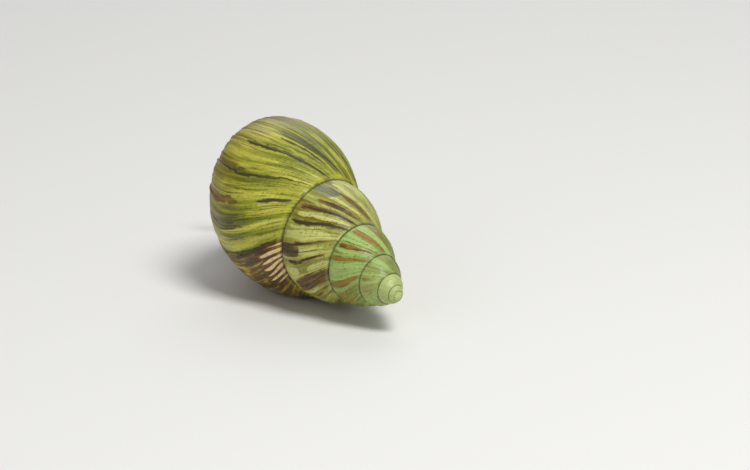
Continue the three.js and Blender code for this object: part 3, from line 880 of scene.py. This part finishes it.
# Specks, the seam, and the pearly glaze inside the mouth.
specks = speckle.between(0.61, 0.68) * 0.55 + grains * speckle.between(0.5, 0.6) * 0.3
ground = (specks * (1 - tip)).clamp().blend(ground, CHESTNUT)
ground = (seam_ledge * 0.25).clamp().blend(ground, spire.blend(STRAW, TIP_CREAM))
ground = (seam_line * 0.85).clamp().blend(ground, NEARLY_BLACK)
ground = inside_at.blend(ground, fields.between(0.35, 0.65).blend(NACRE, NACRE_BLUE))
height = hairs * 0.45 + fine * 0.35 + grains * 0.22 + speckle * 0.1 - stroke * 0.2
height = height * (1 - inside_at * 0.9)
bump = start.node("Bump", {}, {"Height": height, "Strength": 1.0, "Distance": 0.00036})
feed(shader, "Base Color", ground)
feed(shader, "Roughness", 0.34 + fine * 0.16 + stroke * 0.15 - inside_at * 0.14)
feed(shader, "Normal", bump)
hold(shader, {
    "Coat Weight": 0.15,
    "Coat Roughness": 0.2,
    "IOR": 1.45,
    "Specular IOR Level": 0.38,
})

SLIVER = 2e-6                # metres


def without_slivers(mesh):
    """The mesh with its faces of no width closed up."""
    work = bmesh.new()
    work.from_mesh(mesh)
    bmesh.ops.dissolve_degenerate(work, dist=SLIVER, edges=work.edges)
    work.to_mesh(mesh)
    work.free()
    mesh.update()


without_slivers(shell_mesh)
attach(shell, "root")
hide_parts("shell_apex", "shell_upper_spire", "shell_penultimate_whorl",
            "shell_body_whorl", "shell_lip")


# ---- Skin, its form --------------------------------------------------------------------------
# The soft body is one skin: foot, neck, head, feelers and the mantle collar that fills the mouth
# of the shell.  Its lumps are fused, then smoothed, so that no join between them is left.
FLESH = ("tail", "foot_rear", "foot_front", "neck", "head")
SWELL = 0.22                 # mm that closes the thin cuts between the lumps
SKIN_VOXEL = 0.27            # mm
# Root, middle and tip of each feeler, in millimetres from the shell's tip.
UPPER_FEELERS = {
    "left": ((82.9, -13.5, 8.2), (84.9, -12.6, 11.6), (88.2, -9.6, 15.6)),
    "right": ((82.1, -18.3, 8.2), (83.4, -19.7, 11.4), (86.2, -23.4, 15.2)),
}
LOWER_FEELERS = {
    "left": ((85.4, -15.2, 5.3), (88.4, -14.3, 4.9), (91.0, -13.2, 3.7)),
    "right": ((84.9, -18.9, 5.3), (87.4, -20.5, 4.9), (89.6, -22.0, 3.7)),
}
# A share of a feeler's length, and its radius there.
UPPER_FEELER_RADII = ((0, 1.75), (0.12, 1.4), (0.35, 1.12), (0.65, 0.92), (0.84, 0.84),
                      (0.93, 1.0), (1.0, 1.12), (1.07, 0.8))
LOWER_FEELER_RADII = ((0, 1.3), (0.25, 1.05), (0.6, 0.86), (0.9, 0.82), (1.0, 0.62))
# Lips, brow, chin and the front of the foot: the middle and the half sizes of each.
SNOUT = (
    ((87.0, -15.9, 3.7), (1.9, 1.6, 1.5)),
    ((86.2, -19.3, 3.7), (1.9, 1.6, 1.5)),
    ((87.2, -17.4, 5.7), (2.3, 2.8, 2.1)),
    ((85.8, -17.2, 3.0), (2.2, 2.4, 1.7)),
    ((83.6, -16.7, 1.0), (3.4, 6.2, 1.7)),
)

body_shift = np.array([shift[0], shift[1], 0.0])


def bend(path, shares):
    """Points on a smooth arc through a feeler's root, middle and tip, and on past its tip."""
    root, middle, tip = (np.array(point, float) for point in path)
    control = 2 * middle - (root + tip) / 2
    t = np.asarray(shares)[:, None]
    return (1 - t) ** 2 * root + 2 * t * (1 - t) * control + t * t * tip


def sweep(centres, radii, sides, closed=False):
    """A round tube along a path: its points and faces, shut at both ends unless it is a ring."""
    centres = np.asarray(centres, float)
    ahead = np.roll(centres, -1, 0) - np.roll(centres, 1, 0)
    if not closed:
        ahead[0], ahead[-1] = centres[1] - centres[0], centres[-1] - centres[-2]
    ahead = ahead / np.linalg.norm(ahead, axis=1, keepdims=True)
    across = np.cross(ahead, (0.31, 0.17, 0.94))
    across = across / np.linalg.norm(across, axis=1, keepdims=True)
    over = np.cross(ahead, across)
    turn = np.linspace(0, 2 * math.pi, sides, endpoint=False)
    ring = across[:, None] * np.cos(turn)[:, None] + over[:, None] * np.sin(turn)[:, None]
    made = (centres[:, None] + ring * np.asarray(radii)[:, None, None]).reshape(-1, 3)
    return made, tube_faces(sides, len(centres), closed=closed)


def ball(centre, half_sizes):
    """An egg shape: its points and faces."""
    share = np.linspace(-0.98, 0.98, 13)
    made, quads = sweep(np.outer(share, (0, 0, 1)), np.sqrt(1 - share**2), 20)
    return made * np.array(half_sizes) + np.array(centre), quads


lumps = []
for name in FLESH:
    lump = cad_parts[name].data
    flesh = np.array([v.co + v.normal * SWELL * MM for v in lump.vertices]) / MM
    lumps.append((flesh, [list(polygon.vertices) for polygon in lump.polygons]))
# Each pair of feelers, with the sides to its tubes.
FEELERS = ((UPPER_FEELERS, UPPER_FEELER_RADII, 20), (LOWER_FEELERS, LOWER_FEELER_RADII, 16))
for side in ("left", "right"):
    for paths, profile, sides in FEELERS:
        shares, radii = zip(*profile)
        lumps.append(sweep(bend(paths[side], shares) + body_shift, radii, sides))
for centre, half_sizes in SNOUT:
    lumps.append(ball(np.array(centre) + body_shift, half_sizes))

# The collar's thick edge follows the mouth of the shell just inside the lip.
COLLAR_DEPTH = 3.5           # degrees back from the lip
COLLAR_RADIUS = 1.25
COLLAR_SIDE = 34             # points along each side of the mouth
collar_share = np.linspace(0.02, 0.98, COLLAR_SIDE)
collar_share = np.concatenate([collar_share, np.linspace(0.98, 0.02, COLLAR_SIDE)])
collar_outer = np.arange(len(collar_share)) < COLLAR_SIDE


def mouth_ring(back, inset):
    """A ring round the hollow at some degrees back from the lip, drawn in by an inset."""
    r, z = hollow(LIP_ANGLE - back, collar_share, collar_outer)
    ring = lay(r, LIP_ANGLE - back, z) + shift
    inward = ring.mean(0) - ring
    return ring + inward / np.linalg.norm(inward, axis=1, keepdims=True) * inset


collar_line = mouth_ring(COLLAR_DEPTH, COLLAR_RADIUS)
for round_of_smoothing in range(3):
    collar_line = (np.roll(collar_line, 1, 0) + collar_line * 2 + np.roll(collar_line, -1, 0)) / 4
lumps.append(sweep(collar_line, np.full(len(collar_line), COLLAR_RADIUS), 12, closed=True))

# Behind the edge the mantle fills the hollow, a little short of the shell all round.
MANTLE_GAP = 0.35            # mm
MANTLE_DEEP = 34.0           # degrees back from the lip
MANTLE_RINGS = 12
mantle_backs = np.linspace(COLLAR_DEPTH, MANTLE_DEEP, MANTLE_RINGS)
mantle_points = np.concatenate([mouth_ring(back, MANTLE_GAP) for back in mantle_backs])
mantle_faces = tube_faces(len(collar_share), MANTLE_RINGS)
lumps.append((mantle_points, mantle_faces))

# Past the lip it laps up against the pillar, so that only the pillar's end stays bare.
LAP_RADIUS = 3.7             # mm from the axis
# Each lap: degrees past the lip, where it starts and ends from the tip, and its thickness.
LAPS = ((45, 44.0, 67.5, 3.3), (88, 49.0, 67.0, 3.2), (128, 54.0, 65.0, 2.4))
for past_lip, lap_start, lap_end, lap_size in LAPS:
    lap_share = np.linspace(-0.97, 0.97, 18)
    lap_z = (lap_start + lap_end) / 2 + lap_share * (lap_end - lap_start) / 2
    lap_line = lay(np.full(len(lap_z), LAP_RADIUS), LIP_ANGLE + past_lip, lap_z) + shift
    lumps.append(sweep(lap_line, lap_size * (1 - lap_share**4) ** 0.5, 18))

lump_points, lump_faces = [], []
points_so_far = 0
for made, quads in lumps:
    lump_points.append(made)
    lump_faces += [[index + points_so_far for index in quad] for quad in quads]
    points_so_far += len(made)
skin = piece_of("skin", np.concatenate(lump_points), lump_faces)
remesh = skin.modifiers.new("fuse", "REMESH")
remesh.mode = "VOXEL"
remesh.voxel_size = SKIN_VOXEL * MM
fused = bpy.data.meshes.new_from_object(skin.evaluated_get(bpy.context.evaluated_depsgraph_get()))
skin.modifiers.clear()
skin.data = fused

SMOOTHING_ROUNDS = 26
LOW_ROUNDS = 40              # more rounds, close to the floor
PATH_MARKS = 40              # to a feeler's length
NECK_END = 80                # mm from the shell's tip; the feelers are all beyond it
flesh = np.empty(len(fused.vertices) * 3)
fused.vertices.foreach_get("co", flesh)
flesh = flesh.reshape(-1, 3) / MM
edges = np.empty(len(fused.edges) * 2, int)
fused.edges.foreach_get("vertices", edges)
edges = edges.reshape(-1, 2)
degree = np.bincount(edges.ravel(), minlength=len(flesh))[:, None]


def averaged(values):
    """The mean of the values at each point's neighbours."""
    sums = np.zeros_like(values)
    np.add.at(sums, edges[:, 0], values[edges[:, 1]])
    np.add.at(sums, edges[:, 1], values[edges[:, 0]])
    return sums / (degree if values.ndim == 2 else degree[:, 0])


def tree_of(places):
    """A search tree that finds the nearest of these places."""
    tree = KDTree(len(places))
    for index, place in enumerate(places):
        tree.insert(place, index)
    tree.balance()
    return tree


def near_path(points, path, shares, radii):
    """How far out along a feeler each point lies, and its distance from the axis over the radius."""
    tree = tree_of(bend(path, np.arange(PATH_MARKS + 5) / PATH_MARKS) + body_shift)
    found = [tree.find(point) for point in points]
    share = np.array([entry[1] for entry in found]) / PATH_MARKS
    distance = np.array([entry[2] for entry in found])
    return share, distance / np.interp(share, shares, radii)


feeler = np.zeros(len(flesh))
feeler_share = np.zeros(len(flesh))
ahead_of_neck = flesh[:, 0] - body_shift[0] > NECK_END
for paths, profile, sides in FEELERS:
    shares, radii = zip(*profile)
    for side in ("left", "right"):
        share, ratio = near_path(flesh[ahead_of_neck], paths[side], shares, radii)
        near = smooth(1.6, 1.15, ratio) * smooth(0.08, 0.3, share)
        feeler[ahead_of_neck] = np.maximum(feeler[ahead_of_neck], near)
        feeler_share[ahead_of_neck] = np.where(near > 0.3, share, feeler_share[ahead_of_neck])
steady = feeler[:, None] * 0.97
for round_of_smoothing in range(SMOOTHING_ROUNDS):
    flesh = flesh * steady + averaged(flesh) * (1 - steady)
low_down = smooth(4.5, 2.5, flesh[:, 2])[:, None]
for round_of_smoothing in range(LOW_ROUNDS):
    flesh = flesh + (averaged(flesh) - flesh) * low_down * (1 - steady)
flesh[:, 2] = np.maximum(flesh[:, 2], 0)


# ---- Skin, its beads and folds ---------------------------------------------------------------
# A land snail's skin is a net of wet grooves round raised beads, long on the back, round on the
# sides, fine on the head and finest on the feelers.  The foot ends in a thin pleated fringe.
BEAD_BACK = 1.35             # mm between the beads of each part
BEAD_NECK = 1.05
BEAD_HEAD = 0.8
BEAD_FEELER = 0.62
BEAD_COLLAR = 0.55
BEAD_LIPS = 0.55
BEAD_LENGTHENED = 0.6        # width of a bead over its length, on the back
BEAD_PACKING = 0.86          # least distance between beads over the sizes above
NECK_FROM = (60, 74)         # mm from the shell's tip, where the neck comes in, and so on
HEAD_FROM = (78, 84)
CREASED_FROM = (52, 64)
ROUND_FROM = (76, 84)
CHIN_FROM = (84.5, 86.5)
BEAD_HEIGHT = 0.30           # mm on the back
NECK_FLATTER = 0.06          # mm less on the neck
FEELER_BEAD_HEIGHT = 0.07
COLLAR_BEAD_HEIGHT = 0.05
CREASE_DEPTH = 0.32
LUMP_HEIGHT = 0.16
FRINGE_TOP = 1.5             # mm above the floor
FRINGE_PLEAT = 0.85          # mm from one pleat to the next
PLEAT_DEPTH = 0.28
FLARE = 1.5                  # mm that the fringe spreads at the floor
FLARE_DRAWN_IN = 0.30        # mm that it is drawn in at its top
GROOVE_DEPTH = 0.38          # mm, of the groove that runs over the fringe
MOUTH = (88.5, -17.8, 3.9)   # mm from the shell's tip
UPPER_LIP_HEIGHT = 0.5
LOWER_LIP_HEIGHT = 0.45
SLIT_DEPTH = 1.5
FURROW_DEPTH = 0.55


def slopes(points):
    """The outward direction at each point."""
    fused.vertices.foreach_set("co", (points * MM).ravel())
    fused.update()
    normals = np.empty(len(points) * 3)
    fused.vertices.foreach_get("normal", normals)
    return normals.reshape(-1, 3)


normals = slopes(flesh)
local = flesh - body_shift
# How far each point is towards the head, to the left, and above the floor.
forth, aside, above = local.T
head_share = smooth(*HEAD_FROM, forth)
neck_share = smooth(*NECK_FROM, forth)
collar_tree = tree_of(collar_line)
collar = smooth(2.9, 1.7, np.array([collar_tree.find(point)[2] for point in flesh]))
mantle_tree = BVHTree.FromPolygons([Vector(place) for place in mantle_points], mantle_faces)
to_mantle = np.array([mantle_tree.find_nearest(Vector(point))[3] for point in flesh])
collar = np.maximum(collar, smooth(0.9, 0.3, to_mantle))
sole = smooth(0.5, 0.15, above) * smooth(-0.3, -0.8, normals[:, 2])
fringe = smooth(FRINGE_TOP + 0.6, FRINGE_TOP - 0.3, above) * (1 - sole) * (1 - feeler)
to_mouth = local - np.array(MOUTH)
lips = smooth(3.6, 1.6, np.linalg.norm(to_mouth * np.array((0.8, 0.8, 1.1)), axis=1))

spacing = BEAD_BACK
for size, share in ((BEAD_NECK, neck_share), (BEAD_HEAD, head_share), (BEAD_FEELER, feeler),
                    (BEAD_COLLAR, collar), (BEAD_LIPS, lips)):
    spacing = spacing + (size - spacing) * share
MARK = 0.25                  # mm
length_marks = np.arange(0.0, 100.0, MARK)
squash = BEAD_LENGTHENED + (1 - BEAD_LENGTHENED) * 0.7 * smooth(*ROUND_FROM, length_marks)
stretched = local.copy()
stretched[:, 0] = np.interp(forth, length_marks, np.cumsum(squash) * MARK)

# Beads are dealt out in a random order, each where no other is too near.
GRID = 1.4                   # mm, more than any two beads keep apart
CELLS_ROUND = [(x, y, z) for x in (-1, 0, 1) for y in (-1, 0, 1) for z in (-1, 0, 1)]
held = {}
beads = []
for index in np.random.default_rng(31).permutation(len(flesh)):
    place = stretched[index]
    reach = spacing[index] * BEAD_PACKING
    x, y, z = (place // GRID).astype(int)
    near = [other for dx, dy, dz in CELLS_ROUND for other in held.get((x + dx, y + dy, z + dz), ())]
    free = True
    for other in near:
        gap = (other[0] - place[0]) ** 2 + (other[1] - place[1]) ** 2 + (other[2] - place[2]) ** 2
        if gap < reach * reach:
            free = False
            break
    if free:
        held.setdefault((x, y, z), []).append(place)
        beads.append(place)
bead_tree = tree_of(beads)
nearest = [bead_tree.find_n(place, 2) for place in stretched]
to_first = np.array([found[0][2] for found in nearest])
to_second = np.array([found[1][2] for found in nearest])
which = np.array([found[0][1] for found in nearest])
domed = 1 - 0.35 * np.clip(to_first / spacing, 0, 1) ** 2
bead = smooth(0.02, 0.42, (to_second - to_first) / spacing) * domed
bead_shade = np.random.default_rng(32).uniform(0, 1, len(beads))[which]

folds = noise(forth / 2.3 + noise(aside / 5, above / 5, 41) * 1.2, aside / 14, 42)
crease = -np.abs(folds) * smooth(*CREASED_FROM, forth) * (1 - head_share * 0.7) * (1 - collar)
lumpy = noise(forth / 5.5, (aside + above * 1.7) / 4.5, 43)
rise = bead * (BEAD_HEIGHT - NECK_FLATTER * neck_share) * (1 - 0.45 * head_share)
rise = rise * (1 - feeler) * (1 - 0.9 * collar)
rise = rise + bead * feeler * FEELER_BEAD_HEIGHT + bead * collar * COLLAR_BEAD_HEIGHT
uneven = CREASE_DEPTH * crease + LUMP_HEIGHT * lumpy
rise = rise + uneven * (1 - feeler) * (1 - 0.6 * collar)
edge_run = np.where(np.abs(normals[:, 0]) > np.abs(normals[:, 1]), aside, forth)
pleats = np.abs(noise(edge_run / (FRINGE_PLEAT * 0.5), above / 6, 44))
flare = FLARE * smooth(1.7, 0.0, above) - FLARE_DRAWN_IN
rise = rise * (1 - fringe) + fringe * (flare - PLEAT_DEPTH * (1 - np.clip(pleats * 3, 0, 1)))
groove = hill((above - FRINGE_TOP - 0.5, 0.32)) * (1 - sole) * (1 - feeler)
rise = rise - GROOVE_DEPTH * groove * (1 - smooth(*CHIN_FROM, forth))

# The mouth is a slit between the lips, with a shallow furrow up the snout over it.
before, beside, over = to_mouth.T
bowed = over + 0.22 * beside**2
slit = hill((before, 2.4), (beside, 1.9), (bowed, 0.40))
upper_lips = hill((np.abs(beside) - 1.2, 0.95), (bowed - 1.0, 0.75), (before, 2.6))
lower_lip = hill((beside, 1.8), (bowed + 0.85, 0.55), (before, 2.6))
furrow = hill((before, 2.6), (beside, 0.45)) * smooth(0, 1.0, over) * (1 - smooth(3.4, 5.0, over))
rise = rise * (1 - 0.6 * lips) + UPPER_LIP_HEIGHT * upper_lips + LOWER_LIP_HEIGHT * lower_lip
rise = rise - SLIT_DEPTH * slit - FURROW_DEPTH * furrow
flesh = flesh + normals * (rise * (1 - sole))[:, None]

# It stays just clear of the shell, and spreads flat on the floor.
CLEAR = 0.07                 # mm
REACH = 3.0                  # mm from the shell within which the skin is looked at
shell_tree = BVHTree.FromPolygons([Vector(point) for point in points], faces)
for index, place in enumerate(flesh):
    spot, facing, face, distance = shell_tree.find_nearest(Vector(place), REACH)
    if spot is not None and (Vector(place) - spot).dot(facing) < CLEAR:
        flesh[index] = spot + facing * CLEAR

# Where the lip's edge drew neighbours apart, they are eased together again.
LONG_EDGE = 3.2 * SKIN_VOXEL
EASING_ROUNDS = 24
FLATTENED = 0.12             # mm from the floor within which the sole is pressed on to it
edge_length = np.linalg.norm(flesh[edges[:, 0]] - flesh[edges[:, 1]], axis=1)
pulled = np.zeros(len(flesh))
pulled[edges[edge_length > LONG_EDGE].ravel()] = 1
for spread in range(4):
    pulled = np.maximum(pulled, np.minimum(averaged(pulled) * 6, 1))
for round_of_smoothing in range(EASING_ROUNDS):
    flesh = flesh + (averaged(flesh) - flesh) * pulled[:, None]
flesh[:, 2] = np.where(flesh[:, 2] < FLATTENED + 0.1 * sole, 0, flesh[:, 2])
fused.vertices.foreach_set("co", (flesh * MM).ravel())
fused.update()
shade_smooth(fused)


# ---- Skin, its colours -----------------------------------------------------------------------
# Grey-brown beads over darker wet grooves, paler along the fringe, cream under the sole, and a
# smooth tan collar.  The skin is slimy, so it shines.
for name, values in (
    ("bead", bead),
    ("bead_shade", bead_shade),
    ("collar", collar),
    ("sole", np.clip(sole, 0, 1)),
    ("fringe", np.clip(fringe, 0, 1)),
    ("feeler", feeler * smooth(0.1, 0.8, feeler_share)),
    ("mouth", np.clip(slit * 1.3 + 0.5 * furrow, 0, 1)),
    ("lips", lips),
):
    attribute(fused, name, values, "POINT")

GROOVE = colour(58, 44, 34)
BEAD_DARK = colour(112, 90, 70)
BEAD_LIGHT = colour(182, 158, 126)
FRINGE_TAN = colour(172, 150, 116)
FEELER_GREY = colour(84, 72, 64)
COLLAR_TAN = colour(176, 150, 112)
COLLAR_SPECK = colour(128, 100, 70)
SOLE_CREAM = colour(186, 172, 146)
MOUTH_DARK = colour(60, 40, 34)

skin_shader, start = material_for(skin, "wet_skin")


def skin_value(name):
    """One of the numbers kept at the skin's points."""
    return start.node("Attribute", {"attribute_name": name}, {}, 2)


bead_at = skin_value("bead")
where = start.node("TexCoord", {}, {}, 3)
mottle = start.node("TexNoise", {}, {"Vector": where, "Scale": 260.0, "Detail": 3.0})
grain = start.node("TexNoise", {}, {"Vector": where, "Scale": 2600.0, "Detail": 2.0})
pores = start.node("TexVoronoi", {}, {"Vector": where, "Scale": 3200.0})
paleness = skin_value("bead_shade") * 0.55 + mottle.between(0.35, 0.65) * 0.55
tops = paleness.clamp().blend(BEAD_DARK, BEAD_LIGHT)
hide = (bead_at * 1.1).clamp().blend(GROOVE, tops)
hide = (skin_value("fringe") * 0.55).blend(hide, FRINGE_TAN)
hide = (skin_value("lips") * 0.45).blend(hide, FRINGE_TAN)
hide = (skin_value("feeler") * 0.75).blend(hide, FEELER_GREY)
fleck = grain.between(0.56, 0.66) * 0.5
hide = skin_value("collar").clamp().blend(hide, fleck.blend(COLLAR_TAN, COLLAR_SPECK))
hide = skin_value("sole").blend(hide, SOLE_CREAM)
hide = (skin_value("mouth") * 0.85).blend(hide, MOUTH_DARK)
pitted = grain * 0.6 + pores * 0.4 + mottle * 0.3
bump = start.node("Bump", {}, {"Height": pitted, "Strength": 0.6, "Distance": 0.00012})
feed(skin_shader, "Base Color", hide)
feed(skin_shader, "Roughness", 0.36 + grain * 0.2 - bead_at * 0.06)
feed(skin_shader, "Normal", bump)
hold(skin_shader, {
    "Subsurface Weight": 0.12,
    "Subsurface Radius": (0.8, 0.4, 0.25),
    "Subsurface Scale": 0.0012,
    "Coat Weight": 0.5,
    "Coat Roughness": 0.2,
})
without_slivers(fused)
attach(skin, "root")
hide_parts(*FLESH, "mantle_collar", "upper_tentacle_left", "upper_tentacle_right",
            "lower_tentacle_left", "lower_tentacle_right")


# ---- Eyes ------------------------------------------------------------------------------------
# A small dark lens is set in the end of each upper feeler, flush with the skin round it.  It is
# part of the living feeler, and its clear wet face gives it a hard shine.
EYE_RADIUS = 0.62
EYE_SUNK = 0.05              # mm that it sits back in the feeler's end
EYE_BLACK = colour(20, 16, 15)
EYE_BROWN = colour(44, 34, 28)
for side in ("left", "right"):
    root, middle, tip = (np.array(point) for point in UPPER_FEELERS[side])
    aim = (tip - middle) / np.linalg.norm(tip - middle)
    low, high = (np.array(corner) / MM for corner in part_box("eye_" + side))
    share = np.linspace(-0.995, 0.995, 25)
    centres = (low + high) / 2 - aim * EYE_SUNK + np.outer(share * EYE_RADIUS, aim)
    eye = piece_of("eye_lens_" + side, *sweep(centres, EYE_RADIUS * np.sqrt(1 - share**2), 36))
    shade_smooth(eye.data)
    eye_shader, start = material_for(eye, "eye_lens")
    where = start.node("TexCoord", {}, {}, 3)
    cloud = start.node("TexNoise", {}, {"Vector": where, "Scale": 1500.0, "Detail": 2.0})
    feed(eye_shader, "Base Color", cloud.between(0.3, 0.8).blend(EYE_BLACK, EYE_BROWN))
    feed(eye_shader, "Roughness", 0.08 + cloud * 0.08)
    hold(eye_shader, {"Coat Weight": 1.0})
    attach(eye, "root")
    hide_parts("eye_" + side)


# ---- Floor, light and camera -----------------------------------------------------------------
# A plain pale floor, seen from behind and above the shell's tip.  One large soft lamp stands over
# the shell, one fills in from the left and one from behind, and the room is dim round them.
FLOOR_HALF = 3000.0          # mm
corners = [(-1, -1, 0), (1, -1, 0), (1, 1, 0), (-1, 1, 0)]
floor = piece_of("floor", np.array(corners) * FLOOR_HALF, [(0, 1, 2, 3)])
floor_shader, start = material_for(floor, "pale_floor")
hold(floor_shader, {"Base Color": colour(226, 225, 221), "Roughness": 0.8})
floor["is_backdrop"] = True

CAMERA_AZIMUTH = math.radians(146.0105)
CAMERA_ELEVATION = math.radians(15.9859)
CAMERA_DISTANCE = 642.441    # mm, measured from a point near the shell's tip
AIM_LEFT = 5.3647            # mm, to the left of the tip as the camera sees it
AIM_UP = 13.6241             # mm, and above the tip
back = Vector((
    math.cos(CAMERA_ELEVATION) * math.cos(CAMERA_AZIMUTH),
    math.cos(CAMERA_ELEVATION) * math.sin(CAMERA_AZIMUTH),
    math.sin(CAMERA_ELEVATION),
))
right = Vector((-math.sin(CAMERA_AZIMUTH), math.cos(CAMERA_AZIMUTH), 0))
up = back.cross(right)
camera = bpy.data.cameras.new("camera")
camera.sensor_width = 36
camera.lens = 144
camera_object = bpy.data.objects.new("camera", camera)
bpy.context.collection.objects.link(camera_object)
seen_from = Vector(shift) - right * AIM_LEFT + up * AIM_UP + back * CAMERA_DISTANCE
turned = Matrix((right, up, back)).transposed().to_4x4()
camera_object.matrix_world = Matrix.Translation(seen_from * MM) @ turned
bpy.context.scene.camera = camera_object

LIT_POINT = Vector((0, 0, 0.015))
# Each lamp: its name, its place and size in metres, and its watts.
LAMPS = (
    ("key", (-0.45, -0.05, 0.80), 0.36, 6.8),
    ("fill", (-0.3, 0.9, 0.40), 0.8, 1.6),
    ("rim", (0.6, -0.5, 0.6), 0.7, 2.6),
)
for name, place, size, watts in LAMPS:
    lamp = bpy.data.lights.new(name, "AREA")
    lamp.size = size
    lamp.energy = watts
    holder = bpy.data.objects.new(name, lamp)
    holder.location = place
    holder.rotation_mode = "QUATERNION"
    holder.rotation_quaternion = (LIT_POINT - Vector(place)).to_track_quat("-Z", "Y")
    bpy.context.collection.objects.link(holder)
world = bpy.data.worlds.new("studio")
bpy.context.scene.world = world
world.use_nodes = True
hold(world.node_tree.nodes["Background"], {"Color": (0.95, 0.97, 1.0, 1), "Strength": 0.24})
bpy.context.scene.view_settings.view_transform = "Standard"

low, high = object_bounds()
